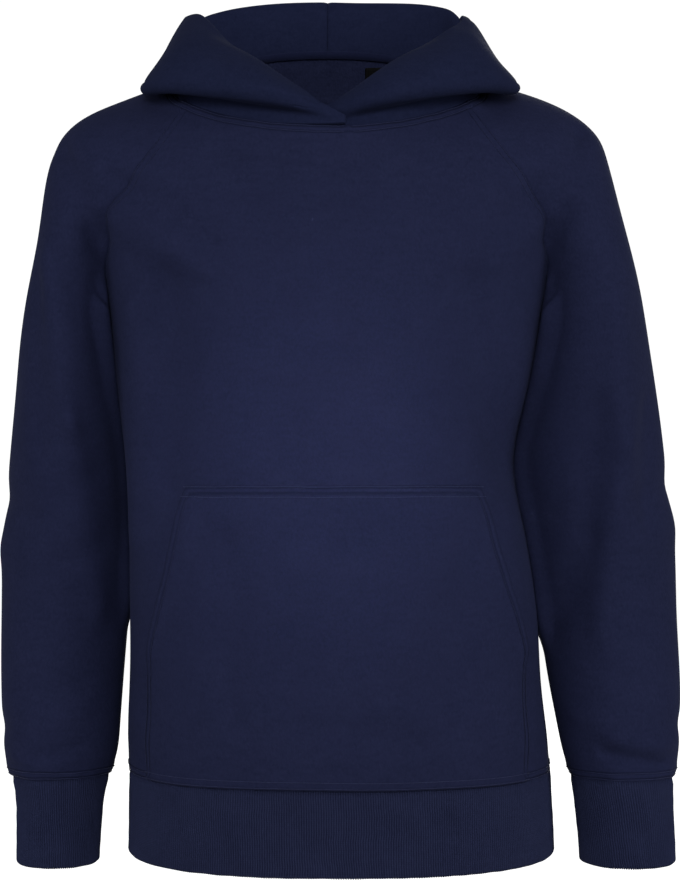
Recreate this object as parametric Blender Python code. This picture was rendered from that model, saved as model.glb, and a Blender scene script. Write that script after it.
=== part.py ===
"""Toddler hoodie: a raglan pullover in brushed sweatshirt fleece, hollow as worn, arms hanging.

All tables are in millimetres. +Z is up and the front faces -Y. The origin lies in the middle of
the neck opening, level with the shoulders, where the garment is held up. Right and left are the
wearer's, so the right sleeve is at -X. Each panel is an open grid of points through its sections;
panels that are sewn together share their edge points, so their walls meet edge to edge.
"""
import math
from collections import defaultdict, namedtuple

import bmesh
import bpy
from mathutils import Vector
from mathutils.bvhtree import BVHTree

MM = 0.001
COLLECTION = "toddler_hoodie"

# Cloth, in millimetres.
FLEECE = 2.2            # body and sleeve wall
HOOD_CLOTH = 2.8        # hood wall, two plies
RIB_CLOTH = 2.9         # hem and cuff wall, two plies
POCKET_CLOTH = 2.0
TAPE_CLOTH = 1.0
SEAM_GAP = 0.6          # between the edges of two pieces that are sewn together
LYING_GAP = 0.9         # between a panel and what lies on it, over its facets

# Grid density.
BODY_COLUMNS = 20
SLEEVE_COLUMNS = 18
YOKE_STEPS = 11
TRUNK_STEPS = 12
ARM_STEPS = 12
HOOD_STEPS = (1, 1, 2, 2, 2, 4, 2, 3, 2, 2)     # steps between the named points of a hood line

# Colours (linear) and finish.
NAVY = (0.0159, 0.0195, 0.0528, 1.0)
NAVY_RIB = (0.0122, 0.0159, 0.0382, 1.0)
NAVY_HOOD = (0.0130, 0.0170, 0.0420, 1.0)
LABEL_BLACK = (0.006, 0.006, 0.007, 1.0)

# The body from the neck seam (level 0) to the underarm (level 7): middle of the chest and of the
# back, degrees of arc from the middle to a raglan seam, and squareness of that arc.
Yoke = namedtuple("Yoke", "level front_y front_z back_y back_z arc square")
YOKE = [
    Yoke(0, -62, -29, 50, 36, 60, 2.0),
    Yoke(1, -69, -48, 62, 12, 62, 2.0),
    Yoke(2, -74, -65, 70, -14, 65, 2.05),
    Yoke(3, -78, -80, 75, -38, 70, 2.1),
    Yoke(4, -81, -97, 79, -66, 78, 2.2),
    Yoke(5, -84, -117, 81, -96, 84, 2.3),
    Yoke(6, -86, -139, 82, -130, 88, 2.4),
    Yoke(7, -87, -160, 83, -160, 90, 2.45),
]

# Each sleeve's cap at the same levels: its front raglan seam, its top line, its back raglan seam,
# degrees of arc from the top line to a seam, and half its depth from front to back.
Cap = namedtuple("Cap", "level front_x front_y front_z top_x top_y top_z back_x back_y back_z arc depth")
CAP_RIGHT = [
    Cap(0, -85, -43, -12, -92, 2, 7, -72, 40, 27, 50, 54),
    Cap(1, -97, -54, -33, -116, 1, 0, -92, 54, 6, 62, 61),
    Cap(2, -108, -59, -49, -141, 0, -9, -106, 62, -18, 76, 62),
    Cap(3, -116, -58, -61, -156, -1, -22, -116, 62, -42, 92, 60),
    Cap(4, -125, -50, -75, -163.2, -2, -40, -124, 54, -68, 110, 57),
    Cap(5, -129, -37, -98, -167.2, -3, -64, -128, 40, -96, 132, 56),
    Cap(6, -128, -19, -130, -172.3, -4, -99, -127, 21, -130, 157, 54),
    Cap(7, -126, 0, -160, -179.2, -5, -142, -126, 0, -160, 180, 51),
]
CAP_LEFT = [
    Cap(0, 69, -43, -12, 76, 2, 7, 56, 40, 27, 50, 54),
    Cap(1, 83, -54, -34, 103, 1, 1, 78, 54, 6, 62, 61),
    Cap(2, 95, -58, -50, 128, 0, -8, 94, 62, -18, 76, 62),
    Cap(3, 103, -57, -61, 145, -1, -22, 103, 62, -42, 92, 60),
    Cap(4, 111, -49, -74, 150.7, -2, -40, 110, 54, -68, 110, 58),
    Cap(5, 113, -36, -98, 157.2, -4, -66, 112, 40, -96, 132, 57),
    Cap(6, 111, -19, -130, 165.1, -6, -101, 110, 20, -130, 157, 55),
    Cap(7, 107, 0, -160, 173.5, -8, -143, 107, 0, -160, 180, 52),
]

# The trunk below the underarm, down to the hem seam and through the hem band.
Trunk = namedtuple("Trunk", "z right left front back square")
TRUNK = [
    Trunk(-160, -126, 107, -87, 83, 2.45),
    Trunk(-190, -122, 99.5, -88.5, 84, 2.5),
    Trunk(-215, -119.8, 97.5, -89.5, 84.5, 2.5),
    Trunk(-252, -118.8, 105, -91, 84.5, 2.5),
    Trunk(-290, -118.8, 110, -92, 84, 2.5),
    Trunk(-330, -119, 112.5, -92.5, 83.5, 2.5),
    Trunk(-362, -120.2, 117, -92.5, 83.5, 2.45),
    Trunk(-380, -118.8, 117.5, -90.5, 82, 2.4),
    Trunk(-404, -119, 119.5, -90, 82, 2.35),
    Trunk(-425, -119.3, 120, -89, 81.5, 2.35),
]
HEM_SEAM_Z = -380
HEM_EDGE_Z = -425

# The arms below the underarm: the point nearest the body and the outermost point of each ring,
# the ring's middle in y and half its depth.
Arm = namedtuple("Arm", "step near_x near_z far_x far_z y depth")
ARM_RIGHT = [
    Arm(0, -126, -160, -179.2, -142, -2, 51),
    Arm(1, -123.6, -188, -185.7, -174, 4, 48.5),
    Arm(2, -121.4, -220, -190, -210, 8, 46),
    Arm(3, -120.4, -255, -193.2, -248, 9, 43),
    Arm(4, -120.3, -290, -193.5, -285, 7, 40),
    Arm(5, -121.5, -325, -191.8, -322, 0, 36.5),
    Arm(6, -123.4, -353, -190.2, -352, -7, 33.5),
    Arm(7, -124.6, -371, -188.2, -371, -10, 30.5),
    Arm(8, -129, -382.5, -184.5, -382.5, -11, 27),
]
ARM_LEFT = [
    Arm(0, 107, -160, 173.5, -143, -2, 52),
    Arm(1, 102.2, -187, 179.8, -173, 2, 49.5),
    Arm(2, 99.8, -215, 185.5, -207, 4, 46.5),
    Arm(3, 106.3, -250, 189.9, -246, 7, 43),
    Arm(4, 111.3, -286, 190.7, -284, 5, 39.5),
    Arm(5, 114.2, -322, 191.1, -321, -3, 36.5),
    Arm(6, 118.8, -352, 189.7, -352, -11, 33.5),
    Arm(7, 122.6, -371, 188.4, -371, -15, 30.5),
    Arm(8, 127, -382.5, 186, -382.5, -16, 27.5),
]
# The cuffs, ring by ring from the sleeve seam to the open end.
CUFF_RIGHT = [
    Arm(0, -129.5, -382.5, -184, -382.5, -11, 26.5),
    Arm(1, -133.5, -396, -181, -396, -12, 25),
    Arm(2, -135.5, -430.5, -180.6, -430.5, -14, 24),
]
CUFF_LEFT = [
    Arm(0, 127.5, -382.5, 185.5, -382.5, -16, 27),
    Arm(1, 130.5, -396, 184.5, -396, -17, 26),
    Arm(2, 133, -429.5, 185.5, -429.5, -19, 25),
]

# A hood panel: its sheet from the neck seam to its rim, as (outward, up) offsets from the seam.
# In front it stands up, folds over and leans in to its rim; behind, it stands higher, drops down
# the back as the inner ply of the folded hood, turns at the bottom and comes up to the rim.
Hood = namedtuple("Hood", "along tuck top over under low belly slope turn rim")
HOOD_RIGHT = [
    Hood(-10, (0, 1), (0, 1.4), (0, 1.8), (0, 2.2), (0, 2.6), (0, 3), (0, 3.5), (0, 4), (0, 4.5)),
    Hood(4, (0, 3), (0.2, 4), (0.5, 5), (0.8, 6), (1, 7), (1, 8.2), (0.8, 9.4), (0.3, 10.7), (-0.3, 12)),
    Hood(20, (-0.8, 5), (1, 7), (4, 8), (8, 8), (11, 9.4), (12.2, 13.5), (8, 18.5), (1.5, 22), (-5, 23.5)),
    Hood(46, (-1, 6), (1.5, 9), (5.5, 9.8), (10, 8.8), (16, 9.4), (18.8, 15), (11, 27), (-5, 36), (-17, 37)),
    Hood(82, (-2, 6), (1, 9.5), (5, 10), (9.5, 8), (16.5, 4.5), (20, 9), (11.5, 25), (-6, 39), (-23, 41)),
    Hood(100, (-3, 6), (-0.5, 10), (3, 10.5), (7, 7), (15.8, 0.6), (20.2, 3.2), (8.5, 18.5), (-4.5, 37.5), (-19, 41)),
    Hood(122, (-3.5, 6), (-1, 11), (3, 11.5), (8, 7.5), (13.7, 2.6), (17, 4.6), (7.5, 18), (-5, 37.5), (-15, 41)),
    Hood(140, (-2, 8), (-1, 17), (3, 19), (9, 9), (15, -0.5), (19, 3.5), (11, 16), (0.5, 33), (-6.5, 38)),
    Hood(152, (-1, 12), (-1, 20), (2.5, 22), (9, 11), (16, -3), (23, 1), (18, 14), (8.5, 28.5), (3, 34.5)),
    Hood(162, (0, 14), (0.5, 27.5), (3.5, 29.5), (10, 14), (17, -7), (26, -3), (25, 12),
         (16, 26), (10.5, 33)),
    Hood(178, (0.5, 15), (2, 29), (6.5, 30), (14, 5), (22.5, -40), (33.5, -36), (35, -7),
         (26.5, 19), (19, 28)),
    Hood(195, (1, 15), (4, 29.5), (9.5, 30.5), (18, 0), (29, -80), (42, -76), (45, -25), (37, 12), (27, 24)),
    Hood(218, (1.5, 16), (4.5, 29.2), (10.5, 30.2), (20, -3), (32, -105), (47, -99), (52, -38),
         (43, 9), (32, 21)),
    Hood(245, (2, 16), (5, 29), (11, 30), (21, -4), (34, -115), (49, -109), (55, -42), (46, 7), (34, 20)),
]
# The left panel differs in front, where it leans less far in and passes beneath the right one.
HOOD_LEFT = [
    Hood(-2, (-0.4, 2.5), (-0.5, 3.4), (-0.6, 4.3), (-0.7, 5.2), (-0.8, 6.1), (-0.9, 7),
         (-1, 7.9), (-1.1, 8.8), (-1.2, 9.7)),
    Hood(11, (-0.6, 4), (0, 5.6), (1, 7), (2.2, 8.4), (3.2, 10), (3.4, 12), (2, 14.2),
         (-0.2, 16), (-2.6, 17)),
    Hood(24, (-1, 5.4), (1.2, 7.6), (5, 8.4), (9, 8.6), (12.2, 10.2), (13.4, 14), (9, 20),
         (0.6, 24.6), (-7, 25.5)),
    Hood(46, (-1, 6), (1.5, 9), (5.5, 9.8), (10, 8.8), (16, 9.4), (18.8, 15), (12, 26),
         (-3, 35), (-15, 36.5)),
    Hood(82, (-2, 6), (1, 9.5), (5.5, 10), (10.5, 8), (18.5, 4.5), (23, 9), (14, 24), (-1, 37), (-14, 39)),
    Hood(100, (-3, 6), (-0.5, 10), (4, 10.5), (9, 7), (19.3, 0.6), (25, 3.2), (11, 18.5), (-2, 36), (-12, 38.5)),
    Hood(122, (-3.5, 6), (-1, 11), (4, 11.5), (9.5, 7.5), (16.3, 2.6), (20.6, 4.6), (9.5, 17.5),
         (-1, 36), (-7, 39)),
    Hood(140, (-2, 8), (-1, 19), (3, 21), (9, 9), (16, -0.5), (20, 3.5), (11.5, 16), (-1, 32), (-7, 37)),
    Hood(152, (-1, 12), (-1, 22), (2.5, 24), (9, 11), (16, -3), (23, 1), (18, 14), (8, 28.5), (2.5, 34.5)),
    Hood(162, (0, 15), (0, 31), (3, 33), (10, 14), (17, -7), (26, -3), (25, 12.5), (16.5, 26), (10.5, 31.5)),
    Hood(178, (0.5, 15), (2, 32), (6.5, 33.5), (14, 5), (22.5, -40), (33.5, -36), (35, -7),
         (26.5, 19), (19, 28)),
    Hood(195, (1, 16), (4, 31.5), (9.5, 33), (18, 0), (29, -80), (42, -76), (45, -25), (37, 12), (27, 24)),
] + HOOD_RIGHT[-2:]
# Where the panels cross, the right one lies outside the left one by the thickness of the cloth.
Crossing = namedtuple("Crossing", "along right left")
CROSSING = [
    Crossing(-10, 2.0, -2.1),
    Crossing(10, 2.0, -2.1),
    Crossing(22, 0.8, -1.0),
    Crossing(40, 0, 0),
    Crossing(245, 0, 0),
]
# Where a panel's lines leave the neck seam; its first and last lines are at its ends.
HOOD_LINES = (10, 21, 33, 46, 64, 82, 99, 113, 126, 138, 148, 158, 168, 178, 190, 206, 225)
HOOD_LEAD = 2.0         # the sheet leaves the neck seam in line with the body for this long, at most
HOOD_REST = 2.6         # from the outside of the shoulders and back to the middle of the hood's wall
HOOD_STANDING = 5       # the first points of a line, which stand on the neck seam
HOOD_INNER = 12         # and the last point of its inner ply
HOOD_REST_FROM = 40     # along the seam, where the hood starts to rest on the shoulders
HOOD_REST_PASSES = 12
# Where the hood lies double on the shoulders and back, its upper ply rests at this height.
Over = namedtuple("Over", "along rest")
HOOD_OVER = [Over(40, 5.4), Over(122, 5.4), Over(136, 8.2), Over(250, 8.2)]

# Largest folds: a soft ridge (+) or trough (-) from one point to another, as seen from a side.
# across is x seen from the front or back and y seen from the sides.
Fold = namedtuple("Fold", "piece seen across1 z1 across2 z2 width height")
FOLDS = [
    Fold("front", "front", -122, -78, -70, -100, 13, 2.6),
    Fold("front", "front", -92, -112, -84, -215, 17, -3.2),
    Fold("front", "front", -106, -118, -108, -225, 12, 2.0),
    Fold("front", "front", 58, -112, 80, -205, 18, -3.0),
    Fold("front", "front", 92, -130, 92, -185, 12, 2.0),
    Fold("front", "front", -50, -60, 5, -62, 9, -1.2),
    Fold("front", "front", -66, -345, 70, -352, 22, 1.6),
    Fold("front", "front", -96, -352, -40, -372, 12, -1.6),
    Fold("back", "back", -96, -110, -70, -215, 17, -2.8),
    Fold("back", "back", 74, -105, 60, -225, 18, -3.0),
    Fold("back", "back", -60, -292, 40, -280, 20, 2.2),
    Fold("back", "back", -85, -330, 60, -345, 16, -2.4),
    Fold("back", "back", 104, -230, 92, -320, 14, 2.0),
    Fold("sleeve_right", "front", -176, -112, -168, -180, 12, 2.6),
    Fold("sleeve_right", "front", -168, -180, -146, -300, 13, 2.8),
    Fold("sleeve_right", "front", -179, -170, -168, -262, 11, -2.6),
    Fold("sleeve_right", "front", -138, -270, -128, -330, 10, -1.8),
    Fold("sleeve_right", "back", -170, -170, -140, -215, 12, -2.6),
    Fold("sleeve_right", "back", -176, -230, -148, -262, 12, 2.2),
    Fold("sleeve_right", "right", -22, -250, 20, -214, 13, -2.2),
    Fold("sleeve_left", "front", 152, -128, 154, -258, 12, 2.8),
    Fold("sleeve_left", "front", 132, -186, 142, -262, 12, -3.2),
    Fold("sleeve_left", "front", 142, -262, 121, -306, 11, -3.0),
    Fold("sleeve_left", "front", 171, -182, 170, -246, 10, -2.6),
    Fold("sleeve_left", "front", 148, -302, 132, -340, 12, 2.2),
    Fold("sleeve_left", "front", 148, -369, 180, -374, 7, -1.8),
    Fold("sleeve_left", "back", 170, -168, 134, -226, 12, -2.8),
    Fold("sleeve_left", "back", 172, -222, 140, -268, 12, 2.2),
    Fold("sleeve_left", "left", -30, -238, 24, -204, 13, -2.2),
]
VIEWS = {
    "front": Vector((0, -1, 0)),
    "back": Vector((0, 1, 0)),
    "right": Vector((-1, 0, 0)),
    "left": Vector((1, 0, 0)),
}

# The kangaroo pocket, seen from the front: half outlines at four heights.
PocketEdge = namedtuple("PocketEdge", "z right left")
POCKET = [
    PocketEdge(-220.5, -83, 74),
    PocketEdge(-262, -90, 82),
    PocketEdge(-310, -102.5, 98),
    PocketEdge(-379.4, -103.5, 99),
]
POCKET_COLUMNS = 16
POCKET_GAP = 1.3        # from the panel to the pocket, which bridges its facets
POCKET_OPENING_LIFT = 0.9   # how far the slanted edges stand off the panel, past that gap
POCKET_ROWS = 9

# Ribs: one raised rib in the wall's outer points stands for two or three of the knit.
RIB_DEPTH = 0.55
HEM_RIBS = 192
CUFF_RIBS = 44
HEM_RIB_GROUP = 3       # ribs to one facet of the plain inside
CUFF_RIB_GROUP = 2

TAPE_WIDTH = 5.5
TAPE_FROM = 182         # along the neck seam from the middle of the front
TAPE_STEPS = 8
TAPE_INSET = 3.9        # from the middle of the wall in to the middle of the tape, over the seam
TAPE_REST = 2.3         # and at its lower edge, over the single wall
LABEL_WIDTH = 15
LABEL_DROP = 16
LABEL_MIDDLE_X = 22
LABEL_TOP_Z = 29
LABEL_CLOTH = 1.0
LABEL_ROWS = 3
LABEL_COLUMNS = 3


# ---------------------------------------------------------------- curves and tables

def flat(row):
    """A table row as one list of numbers, with its pairs opened out."""
    values = []
    for value in row:
        values.extend(value if isinstance(value, tuple) else (value,))
    return values


def on_curve(keys, rows, where):
    """Values at `where` on a smooth curve through rows of numbers placed at rising or falling keys."""
    direction = 1 if keys[-1] > keys[0] else -1
    index = 0
    while index < len(keys) - 2 and (where - keys[index + 1]) * direction > 0:
        index += 1

    def slopes(i):
        before, after = max(i - 1, 0), min(i + 1, len(keys) - 1)
        run = keys[after] - keys[before]
        return [(b - a) / run for a, b in zip(rows[before], rows[after])]

    span = keys[index + 1] - keys[index]
    t = min(max((where - keys[index]) / span, 0.0), 1.0)
    start, leave = 2 * t ** 3 - 3 * t ** 2 + 1, span * (t ** 3 - 2 * t ** 2 + t)
    end, arrive = 3 * t ** 2 - 2 * t ** 3, span * (t ** 3 - t ** 2)
    columns = zip(rows[index], slopes(index), rows[index + 1], slopes(index + 1))
    return [start * a + leave * sa + end * b + arrive * sb for a, sa, b, sb in columns]


def between(table, where):
    """The row at `where` in the first column, on a smooth curve through the table's rows."""
    values = on_curve([row[0] for row in table], [flat(row)[1:] for row in table], where)
    if isinstance(table[0][1], tuple):
        values = [tuple(values[i:i + 2]) for i in range(0, len(values), 2)]
    return type(table[0])(where, *values)


def straight(table, where):
    """The row at `where` in the first column, on straight lines through the table's rows."""
    direction = 1 if table[-1][0] > table[0][0] else -1
    for first, second in zip(table, table[1:]):
        if (second[0] - where) * direction >= 0:
            break
    t = (where - first[0]) / (second[0] - first[0])
    return type(first)(where, *(a + (b - a) * t for a, b in zip(first[1:], second[1:])))


def rounded(angle, square):
    """Sine and cosine of an arc drawn squarer than a circle."""
    sine, cosine = math.sin(angle), math.cos(angle)
    power = 2 / square
    return math.copysign(abs(sine) ** power, sine), abs(cosine) ** power


def front_arc(right, left, middle, arc, square, columns):
    """Points from the right edge to the left one, bulging to the middle's y and z."""
    limit = math.radians(arc)
    sine_limit, cosine_limit = rounded(limit, square)
    chord = (right + left) / 2
    lift = Vector((0, middle.y - chord.y, middle.z - chord.z))
    points = []
    for i in range(columns + 1):
        sine, cosine = rounded(limit * (2 * i / columns - 1), square)
        across = (sine / sine_limit + 1) / 2
        out = (cosine - cosine_limit) / (1 - cosine_limit)
        points.append(right.lerp(left, across) + lift * out)
    return points


def cap_arc(front, top, back, arc, depth, columns):
    """Points from the front seam over the sleeve's top line to the back seam."""
    limit = math.radians(arc)
    half = (back - front).length / 2
    side = (back - front).normalized() if half > 0.01 else Vector((0, 1, 0))
    middle = (front + back) / 2
    centre = (middle - top * math.cos(limit)) / (1 - math.cos(limit))
    points = []
    for i in range(columns + 1):
        angle = limit * (2 * i / columns - 1)
        sideways = depth * math.sin(angle) + angle / limit * (half - depth * math.sin(limit))
        points.append(centre + (top - centre) * math.cos(angle) + side * sideways)
    return points


def ring(row, columns):
    """A closed ring of a sleeve or cuff, from its point nearest the body round by the front."""
    near = Vector((row.near_x, row.y, row.near_z))
    far = Vector((row.far_x, row.y, row.far_z))
    return cap_arc(near, far, near, 180, row.depth, columns)


def trunk_point_rows(z, columns):
    """The front and back halves of the trunk's section at a height."""
    row = between(TRUNK, z)
    right = Vector((row.right, 0, z))
    left = Vector((row.left, 0, z))
    front = front_arc(right, left, Vector((0, row.front, z)), 90, row.square, columns)
    back = front_arc(left, right, Vector((0, row.back, z)), 90, row.square, columns)
    return front, back


# ---------------------------------------------------------------- cloth

class Cloth:
    """Grids of points for panels that share their seam points, so that walls meet square."""

    def __init__(self):
        self.points = []
        self.known = {}
        self.grids = {}

    def number(self, point):
        key = tuple(round(value, 2) for value in point)
        if key not in self.known:
            self.known[key] = len(self.points)
            self.points.append(Vector(point))
        return self.known[key]

    def add(self, name, rows):
        self.grids[name] = [[self.number(point) for point in row] for row in rows]

    def faces(self, name):
        """Faces of a grid, counted from above right round, without doubled corners."""
        grid = self.grids[name]
        for upper, lower in zip(grid, grid[1:]):
            for c in range(len(upper) - 1):
                corners = []
                for corner in (upper[c], lower[c], lower[c + 1], upper[c + 1]):
                    if corner not in corners:
                        corners.append(corner)
                if len(corners) > 2:
                    yield corners

    def normals(self):
        total = defaultdict(Vector)
        for name in self.grids:
            for corners in self.faces(name):
                points = [self.points[i] for i in corners]
                across = points[2] - points[0]
                along = points[-1] - points[1]
                for i in corners:
                    total[i] += across.cross(along)
        return {i: normal.normalized() for i, normal in total.items()}

    def fold(self):
        """Moves the points along their normals by the folds of their panel."""
        normals = self.normals()
        shifts = defaultdict(list)
        for name, grid in self.grids.items():
            for i in {i for row in grid for i in row}:
                shifts[i].append(fold_height(name, self.points[i], normals[i]))
        for i, heights in shifts.items():
            self.points[i] = self.points[i] + normals[i] * (sum(heights) / len(heights))


def fold_height(piece, point, normal):
    """How far the folds of a piece raise or sink a point."""
    height = 0.0
    for fold in FOLDS:
        if fold.piece != piece:
            continue
        facing = min(max(normal.dot(VIEWS[fold.seen]) * 2.5, 0.0), 1.0)
        across = point.x if fold.seen in ("front", "back") else point.y
        here = Vector((across, point.z))
        start = Vector((fold.across1, fold.z1))
        run = Vector((fold.across2, fold.z2)) - start
        t = min(max((here - start).dot(run) / run.length_squared, 0.0), 1.0)
        distance = (here - start - run * t).length
        height += fold.height * facing * math.exp(-(distance / fold.width) ** 2)
    return height


def inset_edges(bm, gap):
    """Draws the open edges of a sheet back by `gap`, square to each edge."""
    shifts = {}
    for vert in bm.verts:
        inward = []
        for edge in vert.link_edges:
            if not edge.is_boundary:
                continue
            along = (edge.verts[1].co - edge.verts[0].co).normalized()
            middle = (edge.verts[0].co + edge.verts[1].co) / 2
            to_face = edge.link_faces[0].calc_center_median() - middle
            inward.append((to_face - along * to_face.dot(along)).normalized())
        if len(inward) == 2:
            shifts[vert] = (inward[0] + inward[1]) * gap / (1 + max(inward[0].dot(inward[1]), -0.5))
    for vert, shift in shifts.items():
        vert.co += shift


def wall(name, points, faces, normals, outward, inward, gap=SEAM_GAP / 2):
    """A sheet made into a closed wall, `outward` and `inward` millimetres from its points."""
    bm = bmesh.new()
    source = bm.verts.layers.int.new("source")
    verts = {}
    for face in faces:
        for i in face:
            if i not in verts:
                verts[i] = bm.verts.new(points[i])
                verts[i][source] = i
        bm.faces.new([verts[i] for i in face])
    inset_edges(bm, gap)
    sheet = set(bm.verts)
    bmesh.ops.extrude_face_region(bm, geom=bm.faces[:], use_keep_orig=True)
    for vert in bm.verts:
        offset = outward if vert in sheet else -inward
        vert.co += normals[vert[source]] * offset
    return finish(name, bm)


def finish(name, bm):
    """The bmesh as an object in metres, faces out, shaded smooth but for its sharp edges."""
    bmesh.ops.recalc_face_normals(bm, faces=bm.faces[:])
    bmesh.ops.scale(bm, vec=(MM, MM, MM), verts=bm.verts[:])
    mesh = bpy.data.meshes.new(name)
    bm.to_mesh(mesh)
    bm.free()
    mesh.shade_smooth()
    mesh.set_sharp_from_angle(angle=math.radians(50))
    obj = bpy.data.objects.new(name, mesh)
    bpy.data.collections[COLLECTION].objects.link(obj)
    return obj


def band(name, rows, ribs, group):
    """A ribbed tube of doubled rib knit: raised ribs outside, plain inside.

    rows are rings of 2 * ribs points from the seam to the open end.
    """
    bm = bmesh.new()
    count = 2 * ribs
    step = 2 * group
    middle = [sum(row, Vector()) / count for row in rows]

    def moved(row, centre, i, inward):
        to_centre = centre - row[i]
        to_centre.z = 0
        return row[i] + to_centre.normalized() * inward

    outer = []
    for row, centre in zip(rows, middle):
        outer.append([bm.verts.new(moved(row, centre, i, RIB_DEPTH * (i % 2))) for i in range(count)])
    inner = []
    for row, centre in zip(rows, middle):
        inner.append([bm.verts.new(moved(row, centre, i, RIB_CLOTH)) for i in range(0, count, step)])
    for upper, lower in zip(outer, outer[1:]):
        for i in range(count):
            j = (i + 1) % count
            bm.faces.new((upper[i], lower[i], lower[j], upper[j]))
    sides = count // step
    for upper, lower in zip(inner, inner[1:]):
        for i in range(sides):
            j = (i + 1) % sides
            bm.faces.new((upper[j], lower[j], lower[i], upper[i]))
    for outer_ring, inner_ring in ((outer[0], inner[0]), (outer[-1], inner[-1])):
        for i in range(sides):
            j = (i + 1) % sides
            first = i * step
            half = first + group
            for k in range(first, first + step):
                hub = inner_ring[i] if k < half else inner_ring[j]
                bm.faces.new((outer_ring[k], outer_ring[(k + 1) % count], hub))
            bm.faces.new((inner_ring[i], inner_ring[j], outer_ring[half]))
    return finish(name, bm)


def evenly(points, count):
    """`count` points spaced evenly round a closed line."""
    lengths = [0.0]
    closed = points + points[:1]
    for a, b in zip(closed, closed[1:]):
        lengths.append(lengths[-1] + (b - a).length)
    spaced = []
    index = 0
    for k in range(count):
        target = lengths[-1] * k / count
        while lengths[index + 1] < target:
            index += 1
        t = (target - lengths[index]) / max(lengths[index + 1] - lengths[index], 1e-9)
        spaced.append(closed[index].lerp(closed[index + 1], t))
    return spaced


# ---------------------------------------------------------------- body and sleeves

def seam_points(cap):
    front = Vector((cap.front_x, cap.front_y, cap.front_z))
    top = Vector((cap.top_x, cap.top_y, cap.top_z))
    back = Vector((cap.back_x, cap.back_y, cap.back_z))
    return front, top, back


def body_cloth():
    """Front, back and both sleeves: one surface, cut at its raglan, side and sleeve seams."""
    cloth = Cloth()
    fronts, backs, rights, lefts = [], [], [], []
    underarm = YOKE[-1].level
    for step in range(YOKE_STEPS + 1):
        level = underarm * step / YOKE_STEPS
        yoke = between(YOKE, level)
        right, left = between(CAP_RIGHT, level), between(CAP_LEFT, level)
        right_front, right_top, right_back = seam_points(right)
        left_front, left_top, left_back = seam_points(left)
        chest = Vector((0, yoke.front_y, yoke.front_z))
        spine = Vector((0, yoke.back_y, yoke.back_z))
        if step < YOKE_STEPS:
            fronts.append(front_arc(right_front, left_front, chest, yoke.arc, yoke.square, BODY_COLUMNS))
            backs.append(front_arc(left_back, right_back, spine, yoke.arc, yoke.square, BODY_COLUMNS))
        right_arc = cap_arc(right_front, right_top, right_back, right.arc, right.depth, SLEEVE_COLUMNS)
        left_arc = cap_arc(left_front, left_top, left_back, left.arc, left.depth, SLEEVE_COLUMNS)
        rights.append(right_arc[::-1])
        lefts.append(left_arc)
    for step in range(TRUNK_STEPS + 1):
        z = TRUNK[0].z + (HEM_SEAM_Z - TRUNK[0].z) * step / TRUNK_STEPS
        front, back = trunk_point_rows(z, BODY_COLUMNS)
        fronts.append(front)
        backs.append(back)
    arm_end = ARM_RIGHT[-1].step
    for step in range(ARM_STEPS + 1):
        where = arm_end * step / ARM_STEPS
        right_ring = ring(between(ARM_RIGHT, where), SLEEVE_COLUMNS)[::-1]
        left_ring = ring(between(ARM_LEFT, where), SLEEVE_COLUMNS)
        if step == 0:
            rights.pop()
            lefts.pop()
        rights.append([point + Vector((-SEAM_GAP, 0, 0)) for point in right_ring])
        lefts.append([point + Vector((SEAM_GAP, 0, 0)) for point in left_ring])
    cloth.add("front", fronts)
    cloth.add("back", backs)
    cloth.add("sleeve_right", rights)
    cloth.add("sleeve_left", lefts)
    cloth.fold()
    return cloth


def level_ends(cloth, normals):
    """Turns the normals at the hem and cuff seams level, so that those edges lie flat."""
    for grid in cloth.grids.values():
        for i in grid[-1]:
            level = Vector((normals[i].x, normals[i].y, 0))
            normals[i] = level.normalized()


class NeckSeam:
    """The neck seam in the middle of the wall, measured from the middle of the front."""

    def __init__(self, cloth, normals):
        grids = cloth.grids
        order = []
        for name in ("front", "sleeve_left", "back", "sleeve_right"):
            order += list(zip(grids[name][0], grids[name][1]))[:-1]
        half = BODY_COLUMNS // 2
        order = order[half:] + order[:half]
        self.points, self.rise = [], []
        for top, below in order:
            self.points.append(cloth.points[top] - normals[top] * FLEECE / 2)
            self.rise.append((cloth.points[top] - cloth.points[below]).normalized())
        around = self.rise[-1:] + self.rise + self.rise[:1]
        self.rise = [(a + b * 2 + c).normalized() for a, b, c in zip(around, around[1:], around[2:])]
        self.points.append(self.points[0])
        self.rise.append(self.rise[0])
        self.lengths = [0.0]
        for a, b in zip(self.points, self.points[1:]):
            self.lengths.append(self.lengths[-1] + (b - a).length)
        middle_of_back = SLEEVE_COLUMNS + BODY_COLUMNS
        self.behind = {1: self.lengths[middle_of_back], -1: self.lengths[-1] - self.lengths[middle_of_back]}

    def at(self, along, side):
        """Point and rise at a length from the front, to the left (+1) or the right (-1)."""
        total = self.lengths[-1]
        target = (along * side) % total
        index = 0
        while self.lengths[index + 1] < target:
            index += 1
        span = self.lengths[index + 1] - self.lengths[index]
        t = (target - self.lengths[index]) / span
        point = self.points[index].lerp(self.points[index + 1], t)
        rise = self.rise[index].lerp(self.rise[index + 1], t)
        tangent = (self.points[index + 1] - self.points[index]).normalized()
        return point, (rise - tangent * rise.dot(tangent)).normalized()

    def outward(self, along, side, reach=14):
        """The level direction out of the neck, square to the seam."""
        ahead, _ = self.at(along + reach, side)
        behind, _ = self.at(along - reach, side)
        run = ahead - behind
        return Vector((run.y, -run.x, 0)).normalized() * side


# ---------------------------------------------------------------- hood, tape and label

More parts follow.
